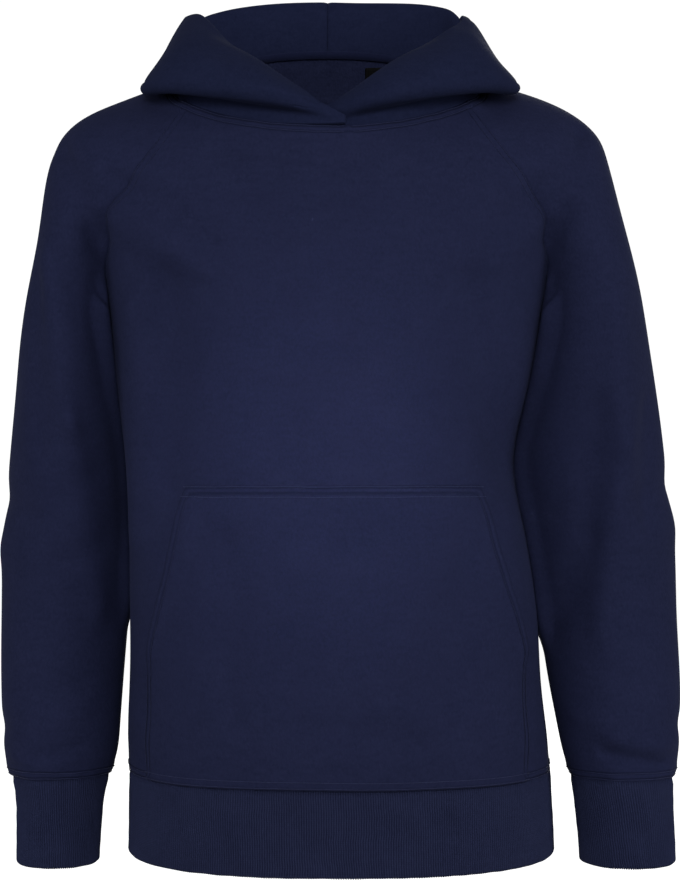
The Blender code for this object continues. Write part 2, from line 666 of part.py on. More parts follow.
def hood_line(neck, table, along, side, outward):
    """One line of a hood panel, from the neck seam to the rim."""
    seam, rise = neck.at(along, side)
    crossing = between(CROSSING, along)
    across = (outward - rise * outward.dot(rise)).normalized()
    start = seam + across * (crossing.right if side < 0 else crossing.left)
    profile = between(table, along)[1:]
    lead = min(HOOD_LEAD, profile[0][1] * 0.6)
    points = [start, start + rise * lead]
    points += [start + outward * out + Vector((0, 0, up)) for out, up in profile]
    keys = list(range(len(points)))
    line = [start]
    for knot, steps in enumerate(HOOD_STEPS):
        line += [Vector(on_curve(keys, points, knot + (k + 1) / steps)) for k in range(steps)]
    return line


def hood_cloth(neck, shoulders):
    """Both hood panels, joined at the back seam and resting on the shoulders and back."""
    cloth = Cloth()
    rests = {}
    behind = []
    for name, table, side in (("hood_right", HOOD_RIGHT, -1), ("hood_left", HOOD_LEFT, 1)):
        start, end = table[0].along, neck.behind[side]
        lines = []
        for along in (start, (start + HOOD_LINES[0]) / 2) + HOOD_LINES + (end,):
            outward = neck.outward(along, side) if along < end else Vector((0, 1, 0))
            lines.append(hood_line(neck, table, along, side, outward))
            if along > HOOD_REST_FROM:
                over = straight(HOOD_OVER, along).rest
                for j in range(HOOD_STANDING, len(lines[-1])):
                    share = min(max((j - HOOD_INNER) / 3, 0), 1)
                    rests[cloth.number(lines[-1][j])] = HOOD_REST + (over - HOOD_REST) * share
        behind = behind or lines[-1]
        lines[-1] = behind
        cloth.add(name, lines[::side])
    for _ in range(HOOD_REST_PASSES):
        rest_on(cloth, rests, shoulders)
    return cloth


def rest_on(cloth, rests, surface):
    """Lifts the points of every face that comes nearer to the surface than they rest above it."""
    lifts = defaultdict(Vector)
    for name in cloth.grids:
        for corners in cloth.faces(name):
            free = [i for i in corners if i in rests]
            if not free:
                continue
            points = [cloth.points[i] for i in corners]
            samples = points + [(a + b) / 2 for a, b in zip(points, points[1:] + points[:1])]
            samples.append(sum(points, Vector()) / len(points))
            rest = sum(rests[i] for i in free) / len(free)
            for sample in samples:
                nearest, normal, _, away = surface.find_nearest(sample)
                short = rest - (sample - nearest).dot(normal)
                if short > 0.01 and away < 30:
                    for i in free:
                        if short > lifts[i].length:
                            lifts[i] = normal * short
    for i, lift in lifts.items():
        cloth.points[i] = cloth.points[i] + lift * 0.7


def even_tips(cloth, normals):
    """Gives each panel one normal along its short front end, so that its wall stays plain there."""
    for tip in (cloth.grids["hood_right"][-1], cloth.grids["hood_left"][0]):
        mean = sum((normals[i] for i in tip), Vector()).normalized()
        for i in tip:
            normals[i] = mean


def tape(neck):
    """The tape inside the back neck, over the seam, from one raglan seam to the other."""
    points, faces, outward = [], [], {}
    lines = []
    for k in range(2 * TAPE_STEPS + 1):
        side = -1 if k <= TAPE_STEPS else 1
        share = k / TAPE_STEPS if side < 0 else 2 - k / TAPE_STEPS
        along = TAPE_FROM + (neck.behind[side] - TAPE_FROM) * share
        seam, rise = neck.at(along, side)
        out = neck.outward(along, side)
        face = (out - rise * out.dot(rise)).normalized()
        middle = seam - face * TAPE_INSET
        top = middle + (rise + Vector((0, 0, 1))) * TAPE_WIDTH / 4
        lines.append([seam - face * TAPE_REST - rise * TAPE_WIDTH / 2, middle, top])
        for row in range(3):
            outward[3 * k + row] = face
    for line in lines:
        points.extend(line)
    for k in range(2 * TAPE_STEPS):
        for row in range(2):
            a = 3 * k + row
            faces.append((a, a + 3, a + 4, a + 1))
    half = TAPE_CLOTH / 2
    return wall("neck_tape", points, faces, outward, half, half, gap=0)


# ---------------------------------------------------------------- pocket

def front_at(cloth, normals, x, z):
    """The front panel's surface and normal at a place seen from the front."""
    grid = cloth.grids["front"]
    for upper, lower in zip(grid[YOKE_STEPS:], grid[YOKE_STEPS + 1:]):
        middle = BODY_COLUMNS // 2
        top, bottom = cloth.points[upper[middle]].z, cloth.points[lower[middle]].z
        if bottom <= z or lower is grid[-1]:
            break
    down = (z - top) / (bottom - top)
    for c in range(BODY_COLUMNS):
        ends = []
        for i, j in ((upper[c], lower[c]), (upper[c + 1], lower[c + 1])):
            point = cloth.points[i].lerp(cloth.points[j], down)
            ends.append((point, normals[i].lerp(normals[j], down)))
        (a, normal_a), (b, normal_b) = ends
        if x <= b.x or c == BODY_COLUMNS - 1:
            break
    t = (x - a.x) / (b.x - a.x)
    return a.lerp(b, t), normal_a.lerp(normal_b, t).normalized()


def pocket(cloth, normals):
    """The pocket, laid on the front panel; its slanted edges stand off a little to let a hand in."""
    points, lifts, grid = [], {}, []
    top, bottom = POCKET[0].z, POCKET[-1].z
    for r in range(POCKET_ROWS + 1):
        z = top + (bottom - top) * r / POCKET_ROWS
        edge = straight(POCKET, z)
        opening = math.sin(math.pi * min((z - top) / (POCKET[2].z - top), 1.0))
        line = []
        for c in range(POCKET_COLUMNS + 1):
            across = c / POCKET_COLUMNS
            x = edge.right + (edge.left - edge.right) * across
            point, normal = front_at(cloth, normals, x, z)
            stand_off = POCKET_GAP + POCKET_OPENING_LIFT * opening * abs(2 * across - 1) ** 3
            line.append(len(points))
            lifts[len(points)] = normal
            points.append(point + normal * stand_off)
        grid.append(line)
    faces = []
    for upper, lower in zip(grid, grid[1:]):
        for c in range(POCKET_COLUMNS):
            faces.append((upper[c], lower[c], lower[c + 1], upper[c + 1]))
    return wall("pocket", points, faces, lifts, POCKET_CLOTH, 0, gap=0)


def size_label(cloth, normals):
    """The label that hangs from the tape's lower edge, just inside the back panel."""
    grid = cloth.grids["back"]
    surface = BVHTree.FromPolygons(cloth.points, [tuple(face) for face in cloth.faces("back")])
    points, faces, facing = [], [], {}
    for r in range(LABEL_ROWS + 1):
        for c in range(LABEL_COLUMNS + 1):
            x = LABEL_MIDDLE_X + LABEL_WIDTH * (c / LABEL_COLUMNS - 0.5)
            z = LABEL_TOP_Z - LABEL_DROP * r / LABEL_ROWS
            hit, normal, _, _ = surface.ray_cast(Vector((x, 0, z)), Vector((0, 1, 0)))
            facing[len(points)] = normal
            points.append(hit - normal * (FLEECE + LYING_GAP))
    for r in range(LABEL_ROWS):
        for c in range(LABEL_COLUMNS):
            a = r * (LABEL_COLUMNS + 1) + c
            faces.append((a, a + 1, a + LABEL_COLUMNS + 2, a + LABEL_COLUMNS + 1))
    return wall("size_label", points, faces, facing, 0, LABEL_CLOTH, gap=0)


# ---------------------------------------------------------------- materials and the whole

def material(name, colour, roughness):
    mat = bpy.data.materials.new(name)
    mat.use_nodes = True
    shader = mat.node_tree.nodes["Principled BSDF"]
    shader.inputs["Base Color"].default_value = colour
    shader.inputs["Roughness"].default_value = roughness
    shader.inputs["Metallic"].default_value = 0.0
    return mat


def main():
    for obj in list(bpy.data.objects):
        bpy.data.objects.remove(obj)
    collection = bpy.data.collections.new(COLLECTION)
    bpy.context.scene.collection.children.link(collection)

    body = body_cloth()
    normals = body.normals()
    level_ends(body, normals)
    panels = [wall(name, body.points, list(body.faces(name)), normals, 0, FLEECE) for name in body.grids]

    neck = NeckSeam(body, normals)
    outside = [tuple(face) for name in body.grids for face in body.faces(name)]
    shoulders = BVHTree.FromPolygons(body.points, outside)
    hood = hood_cloth(neck, shoulders)
    hood_normals = hood.normals()
    even_tips(hood, hood_normals)
    half = HOOD_CLOTH / 2
    hoods = [wall(name, hood.points, list(hood.faces(name)), hood_normals, half, half) for name in hood.grids]

    front_pocket = pocket(body, normals)
    neck_tape = tape(neck)
    label = size_label(body, normals)

    hem_rows = []
    for z in (HEM_SEAM_Z - SEAM_GAP, HEM_EDGE_Z + 3, HEM_EDGE_Z):
        front, back = trunk_point_rows(z, 60)
        hem_rows.append(evenly(front[:-1] + back[:-1], 2 * HEM_RIBS))
    hem = band("hem_band", hem_rows, HEM_RIBS, HEM_RIB_GROUP)
    cuffs = []
    for name, table in (("cuff_right", CUFF_RIGHT), ("cuff_left", CUFF_LEFT)):
        rows = [evenly(ring(row, 60)[:-1], 2 * CUFF_RIBS) for row in table]
        rows[0] = [point - Vector((0, 0, SEAM_GAP)) for point in rows[0]]
        cuffs.append(band(name, rows, CUFF_RIBS, CUFF_RIB_GROUP))

    fleece = material("navy_fleece", NAVY, 0.92)
    hood_fleece = material("navy_hood_fleece", NAVY_HOOD, 0.92)
    rib = material("navy_rib", NAVY_RIB, 0.9)
    satin = material("black_label", LABEL_BLACK, 0.7)
    for finish_of, pieces in ((fleece, panels + [front_pocket, neck_tape]), (hood_fleece, hoods),
                              (rib, cuffs + [hem]), (satin, [label])):
        for piece in pieces:
            piece.data.materials.append(finish_of)


main()
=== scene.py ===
# The part's solids, the camera, and a pale studio floor in white air, lit by soft boxes.
# The garment hangs filled out above the floor, held at its neck, and is seen level from in front.
import math
from collections import namedtuple

import bmesh
import bpy
import numpy as np
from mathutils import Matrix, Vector
from mathutils.bvhtree import BVHTree


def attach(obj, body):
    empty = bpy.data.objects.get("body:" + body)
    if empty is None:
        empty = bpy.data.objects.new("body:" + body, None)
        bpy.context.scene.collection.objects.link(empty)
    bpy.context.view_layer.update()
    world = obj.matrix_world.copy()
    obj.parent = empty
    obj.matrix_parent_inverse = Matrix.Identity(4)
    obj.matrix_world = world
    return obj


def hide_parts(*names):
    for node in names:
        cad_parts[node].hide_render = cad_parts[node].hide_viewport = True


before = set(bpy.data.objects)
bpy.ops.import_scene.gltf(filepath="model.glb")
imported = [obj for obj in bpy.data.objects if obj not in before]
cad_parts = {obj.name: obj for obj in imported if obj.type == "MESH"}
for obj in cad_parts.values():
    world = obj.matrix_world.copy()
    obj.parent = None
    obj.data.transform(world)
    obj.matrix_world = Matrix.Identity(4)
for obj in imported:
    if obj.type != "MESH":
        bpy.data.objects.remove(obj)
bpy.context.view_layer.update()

MM = 0.001
FLOOR_Z = -0.62
EYE = Vector((0, -1.02, -0.222))    # where the camera stands
VIEW_WIDTH = 0.3856     # metres across the view, level with the garment's middle
VIEW_SHIFT = (-0.0015, 0.0676)

scene = bpy.context.scene
scene.view_settings.view_transform = "Standard"
eye = bpy.data.cameras.new("eye")
eye.sensor_fit = "HORIZONTAL"
eye.lens = eye.sensor_width * -EYE.y / VIEW_WIDTH
eye.shift_x, eye.shift_y = VIEW_SHIFT
scene.camera = bpy.data.objects.new("eye", eye)
scene.camera.location = EYE
scene.camera.rotation_euler = (math.radians(90), 0, 0)
scene.collection.objects.link(scene.camera)

ground = bmesh.new()
bmesh.ops.create_grid(ground, x_segments=1, y_segments=1, size=6)
bmesh.ops.translate(ground, vec=(0, 0, FLOOR_Z), verts=ground.verts[:])
floor_mesh = bpy.data.meshes.new("studio_floor")
ground.to_mesh(floor_mesh)
ground.free()
studio = bpy.data.objects.new("studio_floor", floor_mesh)
studio.visible_diffuse = False      # its light doesn't fill the shadows from below
scene.collection.objects.link(studio)


class Look:
    """A material and its nodes. add() makes any node and gives one of its outputs as a Value."""

    def __init__(self, name, **constants):
        self.material = bpy.data.materials.new(name)
        self.material.use_nodes = True
        self.tree = self.material.node_tree
        self.surface = self.tree.nodes["Principled BSDF"]
        for socket, value in constants.items():
            self.surface.inputs[socket.replace("_", " ")].default_value = value

    def feed(self, socket, value):
        if isinstance(value, Value):
            self.tree.links.new(value.socket, socket)
        else:
            socket.default_value = value

    def add(self, kind, settings, inputs, output=0):
        node = self.tree.nodes.new("ShaderNode" + kind)
        for setting, value in settings.items():
            setattr(node, setting, value)
        for socket, value in inputs.items():
            self.feed(node.inputs[socket], value)
        return Value(self, node.outputs[output])

    def place(self):
        return self.add("TexCoord", {}, {}, "Object")

    def noise(self, place, **settings):
        return self.add("TexNoise", {}, {"Vector": place, **settings}, "Fac")

    def mix(self, share, dark, light):
        return self.add("Mix", {"data_type": "RGBA", "clamp_factor": True}, {0: share, 6: dark, 7: light}, 2)

    def bump(self, height):
        """Relief of the surface, from a height in millimetres."""
        return self.add("Bump", {}, {"Height": height, "Distance": MM})

    def wear(self, **values):
        for socket, value in values.items():
            self.feed(self.surface.inputs[socket.replace("_", " ")], value)


class Value:
    """A number that a material's nodes work out, usable in sums."""

    def __init__(self, look, socket):
        self.look, self.socket = look, socket

    def maths(self, operation, other):
        return self.look.add("Math", {"operation": operation}, {0: self, 1: other})

    def __add__(self, other):
        return self.maths("ADD", other)

    def __sub__(self, other):
        return self.maths("SUBTRACT", other)

    def __mul__(self, other):
        return self.maths("MULTIPLY", other)


PAPER = (0.38, 0.38, 0.385, 1)
PAPER_LIGHT = (0.40, 0.40, 0.40, 1)
paper = Look("studio_paper", Roughness=0.95, Specular_IOR_Level=0.0, Emission_Color=(1, 1, 1, 1),
             Emission_Strength=0.9)
speckle = paper.noise(paper.place(), Scale=9.0, Detail=2.0)
paper.wear(Base_Color=paper.mix(speckle, PAPER, PAPER_LIGHT))
floor_mesh.materials.append(paper.material)

# The air is white where it is seen, and far dimmer as a light.
AIR_AS_SEEN = 1.05
AIR_AS_LIGHT = 0.26
world = bpy.data.worlds.new("studio_air")
world.use_nodes = True
air = world.node_tree.nodes["Background"]
air.inputs["Color"].default_value = (1, 1, 1, 1)
seen = world.node_tree.nodes.new("ShaderNodeLightPath")
strength = world.node_tree.nodes.new("ShaderNodeMapRange")
strength.inputs["To Min"].default_value = AIR_AS_LIGHT
strength.inputs["To Max"].default_value = AIR_AS_SEEN
world.node_tree.links.new(seen.outputs["Is Camera Ray"], strength.inputs["Value"])
world.node_tree.links.new(strength.outputs["Result"], air.inputs["Strength"])
scene.world = world

# Places in metres, power in watts, spread in degrees.
SoftBox = namedtuple("SoftBox", "name place aim size power spread")
SOFT_BOXES = [
    SoftBox("box_front", (-0.05, -2.2, 0.15), (0, 0, -0.2), 0.6, 26, 180),
    SoftBox("box_chest", (-0.05, -1.9, -0.1), (-0.004, -0.08, -0.205), 0.12, 0.041, 8),
    SoftBox("box_left", (-2.0, -0.9, 0.2), (0, 0, -0.2), 0.9, 10, 180),
    SoftBox("box_right", (2.0, -0.9, 0.2), (0, 0, -0.2), 0.9, 16, 180),
    SoftBox("box_top", (-0.1, -0.9, 1.5), (0, 0, -0.2), 0.9, 1.2, 180),
    SoftBox("box_back", (0.5, 2.1, 0.7), (0, 0, -0.2), 1.0, 22, 180),
]
for box in SOFT_BOXES:
    lamp = bpy.data.lights.new(box.name, "AREA")
    lamp.size, lamp.energy, lamp.spread = box.size, box.power, math.radians(box.spread)
    holder = bpy.data.objects.new(box.name, lamp)
    holder.location = box.place
    holder.rotation_euler = (Vector(box.aim) - Vector(box.place)).to_track_quat("-Z", "Y").to_euler()
    scene.collection.objects.link(holder)


# Front and back panels: single sweatshirt fleece, smooth knit outside and brushed inside, cut wide and
# straight. They are sewn to the sleeves along the raglans, to each other at the sides, to the hood and hem.
FLEECE = 2.2 * MM
NAVY = (0.0098, 0.0122, 0.0345, 1)
NAVY_LIGHT = (0.0152, 0.0182, 0.0495, 1)
ROWS = (1.5, 4.9)       # the two needle rows of a seam, millimetres from its edge
LET_OUT = 0.55 * MM     # how far each side of a seam is let out, so that the two meet
WELD = 0.02 * MM


def sides_of(bm, bend):
    """The faces, grown into sides across edges that bend less than `bend` degrees, the largest side last."""
    sides, seen = [], set()
    for face in bm.faces:
        side, grow = [], [face] if face not in seen else []
        seen.add(face)
        while grow:
            here = grow.pop()
            side.append(here)
            for edge in here.edges:
                if edge.calc_face_angle() < math.radians(bend):
                    fresh = [f for f in edge.link_faces if f not in seen]
                    seen.update(fresh)
                    grow += fresh
        sides.append(side)
    return sorted(sides, key=len)


def turn_odd_diagonals(bm):
    """Turns the few diagonals that run the other way, so that all corners inside have six edges."""
    odd = {v: len(v.link_edges) for v in bm.verts if not v.is_boundary and len(v.link_edges) != 6}
    for edge in bm.edges[:]:
        if 7 in [odd.get(v) for v in edge.verts]:
            facing = [v for face in edge.link_faces for v in face.verts if v not in edge.verts]
            if 5 in [odd.get(v) for v in facing]:
                bmesh.utils.edge_rotate(edge, True)


def dissolve_diagonals(bm):
    """Makes quads of the triangles: round each one its three edges come in the same order of ways."""
    bm.faces.ensure_lookup_table()
    way, turn, grow = {}, {bm.faces[0]: 0}, [bm.faces[0]]
    while grow:
        here = grow.pop()
        for k, loop in enumerate(here.loops):
            way[loop.edge] = (turn[here] + k) % 3
            other = loop.link_loop_radial_next
            if other.face not in turn:
                turn[other.face] = (way[loop.edge] - list(other.face.loops).index(other)) % 3
                grow.append(other.face)
    on_rim = [sum(way[e] == k and e.is_boundary for e in bm.edges) for k in range(3)]
    diagonal = on_rim.index(min(on_rim))
    bmesh.ops.dissolve_edges(bm, edges=[e for e in bm.edges if way[e] == diagonal], use_verts=False)


def outer_sheet(node, bend):
    """The outside of a node's wall as a sheet of quads.

    The second largest side is the inside, whole and alone, so the outside is what shares no corner with it.
    """
    bm = bmesh.new()
    bm.from_mesh(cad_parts[node].data)
    bmesh.ops.remove_doubles(bm, verts=bm.verts[:], dist=WELD)
    inside = {vert for face in sides_of(bm, bend)[-2] for vert in face.verts}
    rest = [face for face in bm.faces if inside & set(face.verts)]
    bmesh.ops.delete(bm, geom=rest, context="FACES")
    turn_odd_diagonals(bm)
    dissolve_diagonals(bm)
    return bm


def let_out(bm, gap):
    """Lets the edges of a sheet out by `gap`, square to each edge, so that seams close."""
    shifts = {}
    for vert in bm.verts:
        inward = []
        for edge in vert.link_edges:
            if edge.is_boundary:
                along = (edge.verts[1].co - edge.verts[0].co).normalized()
                middle = (edge.verts[0].co + edge.verts[1].co) / 2
                to_face = edge.link_faces[0].calc_center_median() - middle
                inward.append((to_face - along * to_face.dot(along)).normalized())
        if len(inward) == 2:
            shifts[vert] = (inward[0] + inward[1]) * gap / (1 + max(inward[0].dot(inward[1]), -0.5))
    for vert, shift in shifts.items():
        vert.co -= shift


def tree_of(mesh):
    bm = bmesh.new()
    bm.from_mesh(mesh)
    tree = BVHTree.FromBMesh(bm)
    bm.free()
    return tree


# How cloth meets other cloth, in millimetres where no share is named.
MET = 0.1               # cloths this close touch already
FACES = 0.7             # share of a gap that lies along the normal where cloth faces cloth
EASED_IN = 0.4          # share of its reach over which the cloth comes out to the others
BEGUN_OVER = 15         # height over which the cloth begins to come out to them
FOLLOWED = 1.5          # spread of the edge corners that the cloth beside a drawn edge follows


class Panel:
    """A sheet of cloth: its mesh, its points and normals in millimetres, and its edge."""

    def __init__(self, name, bm, levels=2):
        mesh = bpy.data.meshes.new(name)
        bm.to_mesh(mesh)
        bm.free()
        self.piece = bpy.data.objects.new(name, mesh)
        scene.collection.objects.link(self.piece)
        finer = self.piece.modifiers.new("finer", "SUBSURF")
        finer.levels = finer.render_levels = levels
        finer.boundary_smooth = "PRESERVE_CORNERS"
        solved = self.piece.evaluated_get(bpy.context.evaluated_depsgraph_get())
        self.piece.data = bpy.data.meshes.new_from_object(solved)
        self.piece.modifiers.clear()
        self.read()
        self.edge = self.walk()

    def read(self):
        """Takes the points and normals from the mesh as it now is."""
        mesh = self.piece.data
        self.points = np.zeros(len(mesh.vertices) * 3)
        self.normals = np.zeros(len(mesh.vertices) * 3)
        mesh.vertices.foreach_get("co", self.points)
        mesh.vertex_normals.foreach_get("vector", self.normals)
        self.points = self.points.reshape(-1, 3) / MM
        self.normals = self.normals.reshape(-1, 3)

    def walk(self):
        """The corners along each open edge in turn, with the cloth on the left."""
        bm = bmesh.new()
        bm.from_mesh(self.piece.data)
        after = {}
        for edge in bm.edges:
            if edge.is_boundary:
                loop = edge.link_loops[0]
                after[loop.vert.index] = loop.link_loop_next.vert.index
        bm.free()
        rounds = []
        while after:
            here = min(after)
            line = []
            while here in after:
                line.append(here)
                here = after.pop(here)
            rounds.append(line)
        return rounds

    def move(self, shifts):
        """Moves the points by shifts in millimetres."""
        self.points += shifts
        self.piece.data.vertices.foreach_set("co", (self.points * MM).ravel())
        self.piece.data.update()
        self.read()

    def raise_by(self, heights):
        """Moves the points out along their normals, by heights in millimetres."""
        self.move(self.normals * heights[:, None])

    def tree(self):
        return tree_of(self.piece.data)

    def meet(self, others, reaches, lowest, lap=0.6):
        """Lets the cloth out until it touches the others and laps over them, where it faces them.

        Each point has its own reach, and nothing below `lowest` moves.
        """
        heights = np.zeros(len(self.points))
        for i, (point, normal, reach) in enumerate(zip(self.points, self.normals, reaches)):
            here = Vector(point) * MM
            for tree in others:
                there, _, _, gap = tree.find_nearest(here, reach * MM)
                if there is None or gap <= MET * MM:
                    continue
                if (there - here).dot(Vector(normal)) > FACES * gap:
                    close = min(1.0, (reach - gap / MM) / (reach * EASED_IN))
                    heights[i] = max(heights[i], (gap / MM + lap) * close)
        self.raise_by(heights * np.clip((self.points[:, 2] - lowest) / BEGUN_OVER, 0, 1))

    def sew_to(self, others, kept, reach=8.0, over=10.0, lap=1.6):
        """Draws the kept parts of the edge past the nearest edge of the others, by `lap` millimetres.

        An edge further away than `reach` stays, and the cloth up to `over` beside the edge follows it.
        """
        # Each kept corner goes straight to the nearest place on those edges, and a little further.
        lines = [(other, line) for other in others for line in other.edge]
        starts = np.concatenate([other.points[line] for other, line in lines])
        ends = np.concatenate([other.points[line[1:] + line[:1]] for other, line in lines])
        runs = ends - starts
        lengths = np.maximum((runs * runs).sum(axis=1), 1e-9)
        corners, pulls = [], []
        for line in self.edge:
            for before, i, after in zip(line[-1:] + line[:-1], line, line[1:] + line[:1]):
                if not kept(Vector(self.points[i])):
                    continue
                outward = np.cross(self.points[after] - self.points[before], self.normals[i])
                t = np.clip(((self.points[i] - starts) * runs).sum(axis=1) / lengths, 0, 1)
                ways = starts + t[:, None] * runs - self.points[i]
                nearest = (ways * ways).sum(axis=1).argmin()
                if np.linalg.norm(ways[nearest]) < reach:
                    corners.append(i)
                    pulls.append(ways[nearest] + outward * lap / np.linalg.norm(outward))
        # The cloth beside it follows the corners nearest to it, less and less.
        pulls, rim = np.array(pulls), self.points[corners]
        low, high = rim.min(axis=0) - over, rim.max(axis=0) + over
        moved = np.zeros_like(self.points)
        for i in np.flatnonzero(((self.points > low) & (self.points < high)).all(axis=1)):
            gaps = np.linalg.norm(rim - self.points[i], axis=1)
            if gaps.min() < over:
                weights = np.exp(-((gaps - gaps.min()) / FOLLOWED) ** 2)
                moved[i] = weights @ pulls / weights.sum() * (1 - gaps.min() / over) ** 2
        moved[corners] = pulls
        self.move(moved)

    def press_on(self, cloth, away, height, over=9.0):
        """Brings the cloth near an edge down, or up, to `height` above the cloth it is sewn on."""
        pulls = np.zeros(len(self.points))
        for i in np.flatnonzero(away < over * 2):
            pulls[i] = height - cloth.find_nearest(Vector(self.points[i]) * MM)[3] / MM
        self.raise_by(pulls * np.exp(-(away / over) ** 2))

    def from_edge(self, kept, reach=14.0):
        """Each point's distance from the kept parts of the edge, or far more where it is out of reach."""
        away = np.full(len(self.points), reach * 4)
        for line in self.edge:
            ends = self.points[line + line[:1]]
            for a, b in zip(ends, ends[1:]):
                if not kept(Vector(a)) or not kept(Vector(b)):
                    continue
                near = np.flatnonzero(np.abs(self.points - a).max(axis=1) < reach)
                run = b - a
                t = np.clip((self.points[near] - a) @ run / (run @ run), 0, 1)
                gap = np.linalg.norm(self.points[near] - a - t[:, None] * run, axis=1)
                away[near] = np.minimum(away[near], gap)
        return away


# A soft trough or ridge from one place to another, in millimetres, on the side from which it is seen.
Crease = namedtuple("Crease", "seen across1 z1 across2 z2 width height")
TAPER = 0.45            # share of its width that a crease loses by its ends
TURNED = 2.5            # a crease fades where cloth turns from its side past a cosine of 1 / TURNED
SEEN_FROM = {"front": (0, -1, 0), "back": (0, 1, 0), "right": (-1, 0, 0), "left": (1, 0, 0)}


def creases(panel, table):
    """Height of a table of soft troughs and ridges at each point of a panel, in millimetres."""
    heights = np.zeros(len(panel.points))
    for crease in table:
        across = panel.points[:, 0] if crease.seen in ("front", "back") else panel.points[:, 1]
        here = np.stack([across, panel.points[:, 2]], axis=1)
        start = np.array([crease.across1, crease.z1])
        run = np.array([crease.across2, crease.z2]) - start
        t = np.clip((here - start) @ run / (run @ run), 0, 1)
        away = np.linalg.norm(here - start - t[:, None] * run, axis=1)
        thin = 1 - TAPER * np.abs(2 * t - 1) ** 2
        facing = np.clip(panel.normals @ np.array(SEEN_FROM[crease.seen]) * TURNED, 0, 1)
        heights += crease.height * facing * np.exp(-(away / (crease.width * thin)) ** 2)
    return heights


# Slow uneven waves: direction in space, length in millimetres, start, share.
Wave = namedtuple("Wave", "x y z length start share")
PUCKERS = [
    Wave(1.0, 0.3, 0.2, 11.0, 0.4, 0.5),
    Wave(0.4, 1.0, 0.5, 13.7, 1.9, 0.4),
    Wave(0.3, -0.2, 1.0, 9.3, 2.6, 0.5),
    Wave(0.8, -0.5, 0.6, 17.9, 4.1, 0.4),
    Wave(-0.6, 0.4, 0.9, 23.3, 5.2, 0.4),
]
DRAPE = [
    Wave(1.0, 0.6, 0.12, 74.0, 0.6, 0.5),
    Wave(0.7, 1.0, -0.2, 52.0, 2.2, 0.35),
    Wave(0.5, 0.2, 0.9, 88.0, 3.7, 0.4),
    Wave(-0.4, 0.5, 0.7, 61.0, 5.0, 0.25),
    Wave(0.9, -0.8, 0.35, 41.0, 1.2, 0.2),
]


def waves(points, table):
    total = np.zeros(len(points))
    for wave in table:
        way = np.array([wave.x, wave.y, wave.z])
        way = way / np.linalg.norm(way) * 2 * math.pi / wave.length
        total += wave.share * np.sin(points @ way + wave.start)
    return total


def drape(panel, height=0.5):
    return waves(panel.points, DRAPE) * height


ALLOWANCE = 6.5         # width of the seam allowance inside a seam
STEP = 1.6              # how sharply the cloth steps down beyond it
ROLL = 1.2              # width of the edge's roll down into the seam
ROLLED = 0.6            # share of the ridge that the roll takes
PUCKERED = 7.0          # how far from a seam its puckers die out


def sewn(panel, away, ridge=0.45, pucker=0.3):
    """Height of the seam allowance under the cloth, the edge's roll down to the seam, and its puckers."""
    allowance = ridge / (1 + np.exp((away - ALLOWANCE) * STEP)) - ridge * ROLLED * np.exp(-(away / ROLL) ** 2)
    return allowance + pucker * np.exp(-(away / PUCKERED) ** 2) * waves(panel.points, PUCKERS)


def beside(node, reach=1.6):
    """A test of whether a place in millimetres lies beside a node of the part."""
    tree = tree_of(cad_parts[node].data)
    return lambda point: tree.find_nearest(point * MM, reach * MM)[0] is not None


FAR_FROM_SEAM = 50.0    # the longest distance from a seam that a material is given


def finish_cloth(panel, node, thickness, looks, seam):
    """Gives a panel its cloth's thickness, rounded edges, materials and place in the part.

    `looks` are the materials outside and inside, or one for both, and `seam` the distance from the seams.
    """
    mesh = panel.piece.data
    mesh.shade_smooth()
    rows = mesh.attributes.new("from_seam", "FLOAT", "POINT")
    rows.data.foreach_set("value", np.minimum(seam, FAR_FROM_SEAM).astype(np.float32))
    mesh.materials.clear()
    for look in looks:
        mesh.materials.append(look.material)
    wall = panel.piece.modifiers.new("cloth", "SOLIDIFY")
    wall.thickness, wall.offset = thickness, -1
    wall.use_even_offset = False
    wall.material_offset = len(looks) - 1
    soft = panel.piece.modifiers.new("soft_edges", "SUBSURF")
    soft.levels = soft.render_levels = 1
    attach(panel.piece, "root")
    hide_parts(node)


NAP = {"Scale": 520.0, "Detail": 3.0, "Roughness": 0.65}
NAP_TINT = (0.50, 0.58, 1.0, 1)


def knit_look(name, dark, light, grain, sheen, stitched=True):
    """Smooth knit with a soft nap: fine upright loops, faint mottling, and its needle rows sunk in, with
    painted shade along the sunk rows.
    """
    look = Look(name, Roughness=0.92, Specular_IOR_Level=0.02, Sheen_Weight=sheen, Sheen_Roughness=0.5,
                Sheen_Tint=NAP_TINT)
    place = look.place()
    upright = look.add("Mapping", {}, {"Vector": place, "Scale": (1, 1, 0.6)})
    loops = look.add("TexVoronoi", {"feature": "F1"}, {"Vector": upright, "Scale": 900.0}, "Distance")
    nap = look.noise(place, **NAP)
    mottle = look.noise(place, Scale=38.0, Detail=4.0, Roughness=0.7)
    courses = look.add("Mapping", {}, {"Vector": place, "Scale": (1, 1, 3.5)})
    streaks = look.noise(courses, Scale=110.0, Detail=2.0)
    shade = loops * -0.5 + nap * 1.2 + mottle * 0.6 + streaks * 0.6 - 0.45
    height = (nap + loops * -0.7) * grain
    if stitched:
        seam = look.add("Attribute", {"attribute_name": "from_seam"}, {}, "Fac")
        for row in ROWS:
            off = (seam - row) * 1.5
            sunk = look.add("Math", {"operation": "EXPONENT"}, {0: off * off * -1})
            height = height - sunk * 0.4
            # Painted shade: the colour is darkened along each sunk needle row.
            shade = shade - sunk * 0.9
    look.wear(Base_Color=look.mix(shade, dark, light), Normal=look.bump(height), Roughness=nap * 0.12 + 0.84)
    return look


